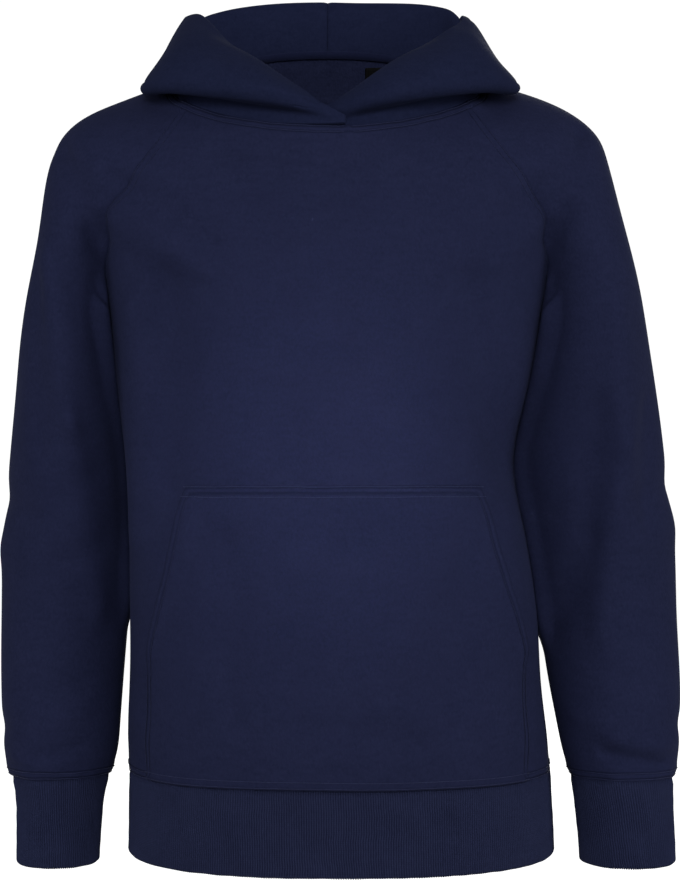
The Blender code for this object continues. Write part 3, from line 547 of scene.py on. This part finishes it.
fleece = knit_look("navy_fleece", NAVY, NAVY_LIGHT, grain=0.12, sheen=0.01)
INSIDE_NAVY = (0.0085, 0.0107, 0.0300, 1)
INSIDE_NAVY_LIGHT = (0.0165, 0.0200, 0.0520, 1)
brushed = knit_look("brushed_inside", INSIDE_NAVY, INSIDE_NAVY_LIGHT, grain=0.30, sheen=0.10, stitched=False)

# The creases over the raglan seams lie in the cloth on both sides of them.
RAGLAN_CREASES = [
    Crease("front", -124, -54, -68, -94, 8, -2.6),
    Crease("front", -130, -72, -70, -110, 9, 2.8),
    Crease("front", -153, -38, -130, -90, 10, -4.2),
    Crease("front", 112, -56, 84, -84, 8, -2.0),
    Crease("front", 114, -74, 82, -104, 9, 2.6),
    Crease("front", 131, -28, 113, -88, 10, -4.0),
    Crease("back", -112, -86, -60, -130, 9, 2.2),
    Crease("back", -112, -104, -70, -152, 8, -2.2),
    Crease("back", -150, -60, -128, -104, 9, -2.0),
    Crease("back", 106, -80, 64, -130, 9, 2.0),
    Crease("back", 106, -98, 76, -152, 8, -2.0),
    Crease("back", 150, -56, 126, -104, 9, -2.0),
]
FRONT_CREASES = [
    Crease("front", -93, -112, -91, -226, 15, -4.8),
    Crease("front", -113, -128, -112, -250, 9, 2.2),
    Crease("front", 68, -112, 86, -206, 14, -5.0),
    Crease("front", 98, -132, 101, -188, 7, 1.8),
    Crease("front", -70, -42, -30, -45, 3.5, -1.3),
    Crease("front", -34, -47, 8, -50, 3.5, -1.2),
    Crease("front", -62, -50, 4, -56, 4, 1.0),
    Crease("front", -60, -62, 70, -70, 12, -2.0),
    Crease("front", -104, -236, -86, -268, 8, -1.8),
    Crease("front", 96, -206, 82, -246, 8, -1.8),
    Crease("front", -112, -346, -88, -372, 7, 1.4),
    Crease("front", 86, -346, 110, -370, 7, 1.5),
]
BACK_CREASES = [
    Crease("back", -62, -50, 48, -56, 9, -1.8),
    Crease("back", -40, -72, 66, -78, 11, 1.5),
    Crease("back", -82, -140, -76, -226, 10, -2.4),
    Crease("back", 70, -130, 62, -220, 10, -2.2),
    Crease("back", -46, -300, 62, -312, 10, -2.2),
    Crease("back", -70, -318, 20, -326, 9, 1.6),
    Crease("back", -76, -350, 26, -358, 8, 1.6),
    Crease("back", 40, -340, 98, -354, 8, -1.8),
    Crease("back", -100, -210, -84, -262, 9, -1.8),
    Crease("back", 92, -176, 84, -226, 9, 1.5),
]
beside_hood = [beside("hood_right"), beside("hood_left")]
UNDERARM_Z = -108
HEM_SEAM_Z = -378


def at_hood(place):
    return any(test(place) for test in beside_hood)


def at_hem(place):
    return place.z < HEM_SEAM_Z


def at_raglan(place):
    return place.z > UNDERARM_Z and not at_hood(place)


def at_side(place):
    return UNDERARM_Z >= place.z >= HEM_SEAM_Z


def away_from(edge):
    """Fades a panel's own creases out over the last centimetre before a seam."""
    return np.clip((edge - 2) / 10, 0, 1)


panels = {}
BODY_CUTS = [
    ("front", FRONT_CREASES, (0.345, 0.385), 0.111),
    ("back", BACK_CREASES, (0.345, 0.430), 0.119),
]
for name, table, cut, cut_area in BODY_CUTS:
    bm = outer_sheet(name, bend=60)
    let_out(bm, LET_OUT)
    panel = panels[name] = Panel(name + "_panel", bm)
    topstitched = panel.from_edge(lambda p: at_hood(p) or at_hem(p))
    raglan = panel.from_edge(at_raglan)
    heights = drape(panel) + sewn(panel, topstitched) + sewn(panel, raglan, ridge=0.25, pucker=0.25)
    heights += creases(panel, RAGLAN_CREASES) + creases(panel, table) * away_from(raglan)
    heights += sewn(panel, panel.from_edge(at_side), ridge=0.3, pucker=0.25)
    panel.raise_by(heights)
    finish_cloth(panel, name, FLEECE, (fleece, brushed), topstitched)


# Sleeves: raglan sleeves of the same fleece, each one piece, sewn into a tube under the arm.
# They run from the neck over the shoulder, rest against the body, and are eased into their cuffs.
SLEEVE_CREASES = {
    "sleeve_right": [
        Crease("front", -164, -112, -164, -206, 8, -3.2),
        Crease("front", -158, -96, -148, -188, 9, 3.4),
        Crease("front", -148, -188, -135, -292, 9, 3.2),
        Crease("front", -132, -212, -158, -232, 6, -1.6),
        Crease("front", -131, -252, -160, -266, 6, -1.6),
        Crease("front", -139, -328, -176, -340, 7, -1.4),
        Crease("front", -140, -346, -180, -354, 6, 1.2),
        Crease("front", -142, -364, -168, -370, 4.5, -1.4),
        Crease("front", -152, -374, -180, -371, 4, 1.0),
        Crease("back", -136, -204, -172, -232, 8, -2.2),
        Crease("back", -138, -232, -170, -252, 8, 1.8),
        Crease("back", -140, -262, -176, -272, 8, -1.6),
        Crease("back", -142, -352, -178, -362, 6, -1.4),
        Crease("right", -30, -238, 22, -222, 8, -2.0),
        Crease("right", -28, -262, 26, -252, 8, 1.6),
        Crease("right", -34, -352, 10, -360, 6, -1.4),
    ],
    "sleeve_left": [
        Crease("front", 148, -124, 154, -200, 9, 3.2),
        Crease("front", 140, -176, 137, -250, 9, -3.0),
        Crease("front", 136, -250, 118, -302, 9, -2.8),
        Crease("front", 154, -200, 142, -300, 10, 3.2),
        Crease("front", 168, -174, 169, -244, 6, -2.4),
        Crease("front", 138, -320, 172, -334, 7, -1.4),
        Crease("front", 127, -345, 150, -358, 7, 1.4),
        Crease("front", 143, -367, 176, -374, 4.5, -2.8),
        Crease("front", 146, -359, 180, -364, 5, 2.0),
        Crease("back", 134, -200, 170, -224, 8, -2.2),
        Crease("back", 136, -228, 170, -246, 8, 1.8),
        Crease("back", 136, -330, 178, -342, 7, -1.7),
        Crease("back", 142, -356, 180, -364, 6, 1.4),
        Crease("left", -34, -230, 20, -214, 8, -2.0),
        Crease("left", -36, -252, 22, -240, 8, 1.6),
        Crease("left", -38, -350, 8, -358, 6, -1.4),
    ],
}
# How near a sleeve comes to the body before it rests on it, how near under the arm, and how far down.
Resting = namedtuple("Resting", "reach reach_under_arm lowest")
RESTING = {
    "sleeve_right": Resting(reach=5.0, reach_under_arm=13.0, lowest=-302),
    "sleeve_left": Resting(reach=8.0, reach_under_arm=14.0, lowest=-314),
}
CLOSING_Z = -180        # the sleeves close in on the body from here up
CLOSED_Z = -120


def reaches_of(points, resting):
    """How near each point of a sleeve comes to the body before it rests on it."""
    closed = np.clip((points[:, 2] - CLOSING_Z) / (CLOSED_Z - CLOSING_Z), 0, 1)
    return resting.reach + (resting.reach_under_arm - resting.reach) * closed


def at_armhole(place):
    return not at_hem(place) and not at_hood(place)


body_cloth = [panels["front"].tree(), panels["back"].tree()]
for name, table in SLEEVE_CREASES.items():
    bm = outer_sheet(name, bend=55)
    let_out(bm, LET_OUT)
    panel = panels[name] = Panel(name + "_panel", bm)
    ends = panel.from_edge(lambda p: at_hem(p) or at_hood(p))
    raglan = panel.from_edge(at_armhole)
    heights = drape(panel) + sewn(panel, ends, pucker=0.5) + sewn(panel, raglan, ridge=0.25, pucker=0.25)
    heights += creases(panel, RAGLAN_CREASES)
    heights += creases(panel, table) * away_from(raglan)
    panel.raise_by(heights)
    panel.meet(body_cloth, reaches_of(panel.points, RESTING[name]), RESTING[name].lowest)
    panel.sew_to((panels["front"], panels["back"]), at_armhole)
    finish_cloth(panel, name, FLEECE, (fleece, brushed), ends)


# Hood: two panels of doubled fleece sewn along the middle, folded over themselves and lying back.
# In front the right panel crosses over the left one, and both are caught in the neck seam.
HOOD_CLOTH = 2.8 * MM
HOOD_LET_OUT = 0.9 * MM
HOOD_REACH = 11.0       # how near the hood comes to the shoulders before it rests on them
HOOD_RESTS_Z = -70
HOOD_LAP = -0.3         # it stops just short of them
HOOD_SEAM_X = -8        # the middle seam, a little to the right, and how far it strays
HOOD_SEAM_STRAYS = 4
HOOD_SEAM_Y = 20        # where it begins, behind the neck
# The hood is the body's fleece in a darker copy: painted shade for the lesser light that falls on the hood,
# outside and inside.
HOOD_PAINTED_SHADE_NAVY = (0.0072, 0.0098, 0.0285, 1)
HOOD_PAINTED_SHADE_NAVY_LIGHT = (0.0116, 0.0150, 0.0410, 1)
hood_fleece = knit_look("hood_fleece", HOOD_PAINTED_SHADE_NAVY, HOOD_PAINTED_SHADE_NAVY_LIGHT, grain=0.12, sheen=0.01, stitched=False)
HOOD_CREASES = {
    "hood_right": [
        Crease("front", -84, 6, -40, 4, 6, -0.9),
        Crease("front", -78, 22, -56, 12, 6, 0.8),
        Crease("back", -60, 30, -24, 12, 8, -1.2),
        Crease("back", -40, 0, -10, -14, 8, 1.0),
        Crease("back", -66, 8, -44, -8, 7, 0.9),
    ],
    "hood_left": [
        Crease("front", 82, 8, 44, 5, 6, -0.9),
        Crease("front", 74, 22, 52, 13, 6, 0.8),
        Crease("back", 58, 28, 22, 14, 8, -1.1),
        Crease("back", 42, -2, 12, -12, 8, 1.0),
        Crease("back", 64, 10, 46, -6, 7, -0.9),
    ],
}


def at_middle(place):
    return abs(place.x - HOOD_SEAM_X) < HOOD_SEAM_STRAYS and place.y > HOOD_SEAM_Y


worn_under = [panels[name].tree() for name in ("front", "back", "sleeve_right", "sleeve_left")]
for name, table in HOOD_CREASES.items():
    bm = outer_sheet(name, bend=75)
    let_out(bm, HOOD_LET_OUT)
    panel = Panel(name + "_panel", bm)
    middle = panel.from_edge(at_middle)
    panel.raise_by(drape(panel, 0.2) + creases(panel, table))
    panel.meet(worn_under, np.full(len(panel.points), HOOD_REACH), HOOD_RESTS_Z, HOOD_LAP)
    finish_cloth(panel, name, HOOD_CLOTH, (hood_fleece,), middle)


# Pocket: one kangaroo pocket of the same fleece, topstitched across its top and down its short sides.
# Its slanted sides are the openings, hemmed and standing a little off the front.
POCKET_CREASES = [
    Crease("front", -10, -244, 14, -318, 34, 2.0),
    Crease("front", -62, -250, -56, -344, 12, -2.4),
    Crease("front", 66, -252, 58, -340, 12, -2.4),
    Crease("front", -78, -230, -82, -262, 5, 1.4),
    Crease("front", -72, -228, -73, -250, 3.5, -1.0),
    Crease("front", 84, -262, 98, -316, 7, 1.2),
    Crease("front", -24, -344, 40, -354, 8, -1.4),
    Crease("front", 20, -336, 66, -344, 8, 1.2),
]
POCKET_CLOTH = 2.0 * MM
POCKET_PRESSED = 1.9    # how high the outside lies above the front where it is stitched down
POCKET_SIDE_Z = -318    # the top of the short sewn sides
GAPE = (1.0, 2.4)       # how far the openings stand off the front: the wearer's right, then left
GAPE_IN = 9             # how far in from an opening the cloth gapes with it
GAPE_BELOW_TOP = 4      # where the gaping begins, under the top edge
GAPE_GROWS = 20
panel = panels["pocket"] = Panel("pocket_panel", outer_sheet("pocket", bend=60))
POCKET_TOP_Z = max(panel.points[:, 2])
TOP_DIP = 1.5           # how far the top edge's corners lie under its highest point
pocket_seams = panel.from_edge(lambda p: p.z > HEM_SEAM_Z)


def at_opening(place):
    """The slanted sides: away from the top edge, the hem and the short sewn sides under them."""
    return POCKET_SIDE_Z < place.z < POCKET_TOP_Z - TOP_DIP


def at_stitched_down(place):
    return place.z > POCKET_TOP_Z - TOP_DIP or HEM_SEAM_Z < place.z <= POCKET_SIDE_Z


openings = panel.from_edge(at_opening, reach=30)
gape = np.where(panel.points[:, 0] < 0, *GAPE) * np.exp(-(openings / GAPE_IN) ** 2)
gape *= np.clip((POCKET_TOP_Z - GAPE_BELOW_TOP - panel.points[:, 2]) / GAPE_GROWS, 0, 1)
panel.raise_by(drape(panel) + creases(panel, POCKET_CREASES)
               + sewn(panel, pocket_seams, ridge=0.3, pucker=0.25) + gape)
panel.press_on(body_cloth[0], panel.from_edge(at_stitched_down), POCKET_PRESSED)
finish_cloth(panel, "pocket", POCKET_CLOTH, (fleece, brushed), pocket_seams)


# Neck tape and label: a narrow tape of the same knit covers the seam inside the back neck.
# A small black woven label hangs from it, left bare.
TAPE_NAVY = (0.0080, 0.0102, 0.0300, 1)
TAPE_NAVY_LIGHT = (0.0110, 0.0140, 0.0400, 1)
TRIM_CLOTH = 1.0 * MM
LABEL_BLACK = (0.0022, 0.0022, 0.0028, 1)
tape_look = knit_look("neck_tape_knit", TAPE_NAVY, TAPE_NAVY_LIGHT, grain=0.08, sheen=0.04, stitched=False)
satin = Look("label_satin", Base_Color=LABEL_BLACK, Roughness=0.6, Specular_IOR_Level=0.06)
weft = satin.add("TexWave", {"wave_type": "BANDS", "bands_direction": "Z"},
                 {"Vector": satin.place(), "Scale": 900.0, "Distortion": 0.4}, "Fac")
satin.wear(Normal=satin.bump(weft * 0.03), Roughness=weft * 0.2 + 0.5)
TRIMS = [
    ("neck_tape", tape_look, "fleece", (0.010, 0.125), 0.00068, "back_panel"),
    ("size_label", satin, "label_satin", (0.015, 0.018), 0.00027, "neck_tape_cloth"),
]
for name, look, slot, cut, cut_area, under in TRIMS:
    panel = Panel(name + "_cloth", outer_sheet(name, bend=60))
    no_seam = np.full(len(panel.points), FAR_FROM_SEAM)
    finish_cloth(panel, name, TRIM_CLOTH, (look,), no_seam)


# Hem and cuffs: bands of one-by-one rib knit, doubled over at the open edge and joined into rings.
# They are stretched a little as they are sewn on, so their ribs stand upright and open slightly.
RIB_CLOTH = 2.9         # thickness of the doubled knit, millimetres
RIB_DEPTH = 0.55
RIB_SIDES = (0.0, 0.72, 1.0, 0.72)      # how high a rib stands at each of its four points
SEAM_LAP = 0.8          # how far a band reaches up over its seam
EASED_OVER = 6          # height over which the seam flattens and puckers the ribs
RIB_UNEVEN = 0.25       # share of their height by which the ribs vary
RIB_STRAYS = 0.3        # how far they stray from side to side
RIB_NAVY = (0.0080, 0.0100, 0.0280, 1)
RIB_NAVY_LIGHT = (0.0192, 0.0236, 0.0580, 1)
RibBand = namedtuple("RibBand", "node ribs x y top edge cut")
RIB_BANDS = [
    RibBand("hem_band", 508, 0, -4, -380, -425, (0.660, 0.046)),
    RibBand("cuff_right", 126, -157, -12, -382.5, -430.5, (0.165, 0.049)),
    RibBand("cuff_left", 126, 158, -17, -382.5, -429.5, (0.168, 0.048)),
]


def ring_inside(tree, band, z, rays=720, smoothed=9):
    """The inside of a band at one height: points round it, smoothed, in millimetres."""
    points = []
    middle = Vector((band.x, band.y, z)) * MM
    for angle in np.linspace(0, 2 * math.pi, rays, endpoint=False):
        points.append(tree.ray_cast(middle, Vector((math.cos(angle), math.sin(angle), 0)))[0] / MM)
    points = np.array([tuple(p) for p in points])
    shifted = [np.roll(points, shift, axis=0) for shift in range(-smoothed, smoothed + 1)]
    return sum(shifted) / len(shifted)


def evenly(points, count):
    """The same ring as `count` points, evenly apart."""
    ring = np.vstack([points, points[:1]])
    run = np.concatenate([[0], np.cumsum(np.linalg.norm(np.diff(ring, axis=0), axis=1))])
    at = np.linspace(0, run[-1], count, endpoint=False)
    return np.stack([np.interp(at, run, ring[:, k]) for k in range(3)], axis=1)


def rib_rows(top, edge):
    """A band's section from its seam down the outside, round the fold and up the inside again.

    Each row is its height, its depth from the outside, and how far its ribs point out and up.
    """
    half = RIB_CLOTH / 2
    down = [(z, 0.0, 1.0, 0.0) for z in np.linspace(top, edge + half, 11)]
    fold = [(edge + half - half * math.sin(a), half - half * math.cos(a), math.cos(a), -math.sin(a))
            for a in np.linspace(0, math.pi, 7)[1:-1]]
    up = [(z, RIB_CLOTH, -0.6, 0.0) for z in np.linspace(edge + half, top, 8)]
    return down + fold + up


def plain_tube(count, rows):
    """A closed wall of `count` by `rows` faces, each row of points one unit below the last."""
    bm = bmesh.new()
    bmesh.ops.create_circle(bm, segments=count, radius=1, cap_ends=False)
    first = loop = bm.edges[:]
    for _ in range(rows - 1):
        made = bmesh.ops.extrude_edge_only(bm, edges=loop)["geom"]
        bmesh.ops.translate(bm, vec=(0, 0, -1), verts=[v for v in made if isinstance(v, bmesh.types.BMVert)])
        loop = [e for e in made if isinstance(e, bmesh.types.BMEdge)]
    bmesh.ops.bridge_loops(bm, edges=first + loop)
    return bm


def knitted(band, count, rows, step, row):
    """Where the points of a band's tube lie, from their steps round it and their rows, in millimetres.

    Gives how high each point's rib stands as well, from 0 to 1.
    """
    # The inside of the solid band is taken at seven heights, and blended from one to the next.
    tree = tree_of(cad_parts[band.node].data)
    levels = np.linspace(band.top - 2, band.edge + 2, 7)
    rings = np.array([evenly(ring_inside(tree, band, z), count) for z in levels])
    z, depth, out, up = np.array(rows)[row].T
    level = np.clip((levels[0] - z) / (levels[0] - levels[-1]), 0, 1) * (len(levels) - 1)
    low = np.minimum(level.astype(int), len(levels) - 2)
    share = (level - low)[:, None]
    inside = rings[low, step] * (1 - share) + rings[low + 1, step] * share
    middle = rings[len(rings) // 2]
    along = np.roll(middle, -2, axis=0) - np.roll(middle, 2, axis=0)
    along /= np.linalg.norm(along, axis=1)[:, None]
    outward = np.stack([along[:, 1], -along[:, 0], np.zeros(count)], axis=1)
    # The knit lies on that inside, its ribs raised, uneven, and drawn flat by the seam.
    rib = np.array(RIB_SIDES)[step % len(RIB_SIDES)]
    places = inside + outward[step] * (RIB_CLOTH - depth)[:, None]
    places[:, 2] = z
    near_seam = np.exp(-(band.top - z) / EASED_OVER)
    eased = (0.5 * waves(places, PUCKERS) - 0.5) * near_seam + 0.25 * waves(places, DRAPE)
    height = rib * RIB_DEPTH * (1 - 0.5 * near_seam) * (1 + RIB_UNEVEN * waves(places, PUCKERS))
    places += outward[step] * (eased + height * out)[:, None]
    places[:, 2] += height * up
    places += along[step] * (RIB_STRAYS * waves(places * (0.2, 0.2, 1), PUCKERS))[:, None]
    return places, rib


rib_knit = Look("navy_rib", Roughness=0.92, Specular_IOR_Level=0.02, Sheen_Weight=0.01, Sheen_Roughness=0.5,
                Sheen_Tint=NAP_TINT)
place = rib_knit.place()
nap = rib_knit.noise(place, **NAP)
rise = rib_knit.add("Attribute", {"attribute_name": "rib"}, {}, "Fac")
mottle = rib_knit.noise(place, Scale=60.0, Detail=2.0)
# Painted shade and highlight: the colour is lighter where a rib stands high and darker in the hollows between
# ribs, besides the nap and mottling.
shade = rise * 0.75 + nap * 0.7 + mottle * 0.4 - 0.5
courses = rib_knit.add("TexWave", {"wave_type": "BANDS", "bands_direction": "Z"},
                       {"Vector": place, "Scale": 330.0, "Distortion": 1.5, "Detail": 1.0}, "Fac")
rib_knit.wear(Base_Color=rib_knit.mix(shade, RIB_NAVY, RIB_NAVY_LIGHT), Roughness=nap * 0.12 + 0.84,
              Normal=rib_knit.bump(nap * 0.08 + courses * 0.06))

for band in RIB_BANDS:
    count = len(RIB_SIDES) * band.ribs
    rows = rib_rows(band.top + SEAM_LAP, band.edge)
    bm = plain_tube(count, len(rows))
    angles = np.array([math.atan2(v.co.y, v.co.x) for v in bm.verts])
    step = np.rint(angles / (2 * math.pi) * count).astype(int) % count
    row = np.rint([-v.co.z for v in bm.verts]).astype(int)
    places, rib = knitted(band, count, rows, step, row)
    for vert, at in zip(bm.verts, places * MM):
        vert.co = at
    bmesh.ops.recalc_face_normals(bm, faces=bm.faces[:])
    mesh = bpy.data.meshes.new(band.node + "_knit")
    bm.to_mesh(mesh)
    bm.free()
    mesh.shade_smooth()
    mesh.attributes.new("rib", "FLOAT", "POINT").data.foreach_set("value", rib.astype(np.float32))
    mesh.materials.append(rib_knit.material)
    piece = bpy.data.objects.new(band.node + "_knit", mesh)
    scene.collection.objects.link(piece)
    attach(piece, "root")
    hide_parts(band.node)


# Topstitching: twin-needle rows in navy thread beside the neck, raglan, hem and cuff seams, and round
# the pocket. Each stitch comes up out of the cloth, lies on it for 3 mm and goes down again.
STITCH = 3.0
THREAD = 0.19           # radius
STITCH_RISE = ((0.0, -0.12), (0.14, 0.10), (0.5, 0.16), (0.86, 0.10))   # share of the stitch, height
SHORTEST_ROW = 6        # the fewest corners of an edge that a row runs along
POCKET_TOP_ROWS = (1.4, 6.9)
POCKET_TOP_ENDS = 2     # how far under the top edge its rows still run
OPENING_ROWS = (5.5,)
CLEAR_OF_HEM = 4        # where the rows down the pocket's sides end above the hem
THREAD_NAVY = (0.0130, 0.0165, 0.0480, 1)
THREAD_NAVY_LIGHT = (0.0210, 0.0255, 0.0680, 1)
# A darker copy of the same navy thread: painted shade for the rows that lie in the raglan creases and beside
# the pocket's openings and short sides.
THREAD_PAINTED_SHADE = (0.0070, 0.0094, 0.0300, 1)
THREAD_PAINTED_SHADE_LIGHT = (0.0110, 0.0145, 0.0440, 1)


def rows_beside(panel, kept, distances):
    """Lines on a panel beside the kept parts of its edge, at these distances in from it."""
    tree = panel.tree()
    lines = []
    for edge in panel.edge:
        # The kept corners, in unbroken runs.
        keep = [kept(Vector(point)) for point in panel.points[edge]]
        if all(keep):
            runs = [edge + edge[:1]]
        else:
            runs, turn = [[]], keep.index(False)
            for corner, stays in zip(edge[turn:] + edge[:turn], keep[turn:] + keep[:turn]):
                if stays:
                    runs[-1].append(corner)
                elif runs[-1]:
                    runs.append([])
        for run in runs:
            if len(run) < SHORTEST_ROW:
                continue
            places = panel.points[run]
            along = np.gradient(places, axis=0)
            inward = np.cross(panel.normals[run], along)
            inward /= np.linalg.norm(inward, axis=1)[:, None]
            for distance in distances:
                line = [tree.find_nearest(Vector(at) * MM)[:2] for at in places + inward * distance]
                lines.append((np.array([tuple(at / MM) for at, _ in line]),
                              np.array([tuple(facing) for _, facing in line])))
    return lines


def topstitch(name, lines, look):
    """One piece of stitches along these lines."""
    curve = bpy.data.curves.new(name, "CURVE")
    curve.dimensions = "3D"
    curve.bevel_depth, curve.bevel_resolution = THREAD * MM, 0
    curve.use_fill_caps = True
    for places, facings in lines:
        run = np.concatenate([[0], np.cumsum(np.linalg.norm(np.diff(places, axis=0), axis=1))])
        count = max(1, round(run[-1] / STITCH))
        at, rise = [], []
        for stitch in range(count):
            for share, height in STITCH_RISE:
                at.append((stitch + share) * run[-1] / count)
                rise.append(height)
        points = np.stack([np.interp(at, run, places[:, k]) for k in range(3)], axis=1)
        facing = np.stack([np.interp(at, run, facings[:, k]) for k in range(3)], axis=1)
        points += facing * np.array(rise)[:, None]
        spline = curve.splines.new("POLY")
        spline.points.add(len(points) - 1)
        for knot, point in zip(spline.points, points * MM):
            knot.co = (*point, 1)
    thread = bpy.data.objects.new(name, curve)
    scene.collection.objects.link(thread)
    solved = thread.evaluated_get(bpy.context.evaluated_depsgraph_get())
    mesh = bpy.data.meshes.new_from_object(solved)
    bpy.data.objects.remove(thread)
    mesh.shade_smooth()
    mesh.materials.clear()
    mesh.materials.append(look.material)
    piece = bpy.data.objects.new(name, mesh)
    scene.collection.objects.link(piece)
    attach(piece, "root")


def thread_look(name, dark, light):
    look = Look(name, Roughness=0.6, Specular_IOR_Level=0.1)
    twist = look.noise(look.place(), Scale=1500.0, Detail=1.0)
    look.wear(Base_Color=look.mix(twist, dark, light))
    return look


def at_pocket_top(place):
    return place.z > POCKET_TOP_Z - POCKET_TOP_ENDS


def at_pocket_side(place):
    return HEM_SEAM_Z + CLEAR_OF_HEM < place.z <= POCKET_SIDE_Z


navy_thread = thread_look("navy_thread", THREAD_NAVY, THREAD_NAVY_LIGHT)
# The raglan rows and the pocket's side rows get the thread in painted shade.
painted_shade_thread = thread_look("painted_shade_thread", THREAD_PAINTED_SHADE, THREAD_PAINTED_SHADE_LIGHT)
neck_rows, raglan_rows, hem_rows, cuff_rows = [], [], [], []
for name in ("front", "back", "sleeve_right", "sleeve_left"):
    neck_rows += rows_beside(panels[name], at_hood, ROWS)
for name in ("front", "back"):
    raglan_rows += rows_beside(panels[name], at_raglan, ROWS)
    hem_rows += rows_beside(panels[name], at_hem, ROWS)
hem_rows += rows_beside(panels["pocket"], at_hem, ROWS)
for name in ("sleeve_right", "sleeve_left"):
    cuff_rows += rows_beside(panels[name], at_hem, ROWS)
pocket_top_rows = rows_beside(panels["pocket"], at_pocket_top, POCKET_TOP_ROWS)
pocket_side_rows = rows_beside(panels["pocket"], at_opening, OPENING_ROWS)
pocket_side_rows += rows_beside(panels["pocket"], at_pocket_side, ROWS)
topstitch("neck_stitching", neck_rows, navy_thread)
topstitch("raglan_stitching", raglan_rows, painted_shade_thread)
topstitch("hem_stitching", hem_rows, navy_thread)
topstitch("cuff_stitching", cuff_rows, navy_thread)
topstitch("pocket_stitching", pocket_top_rows, navy_thread)
topstitch("pocket_side_stitching", pocket_side_rows, painted_shade_thread)
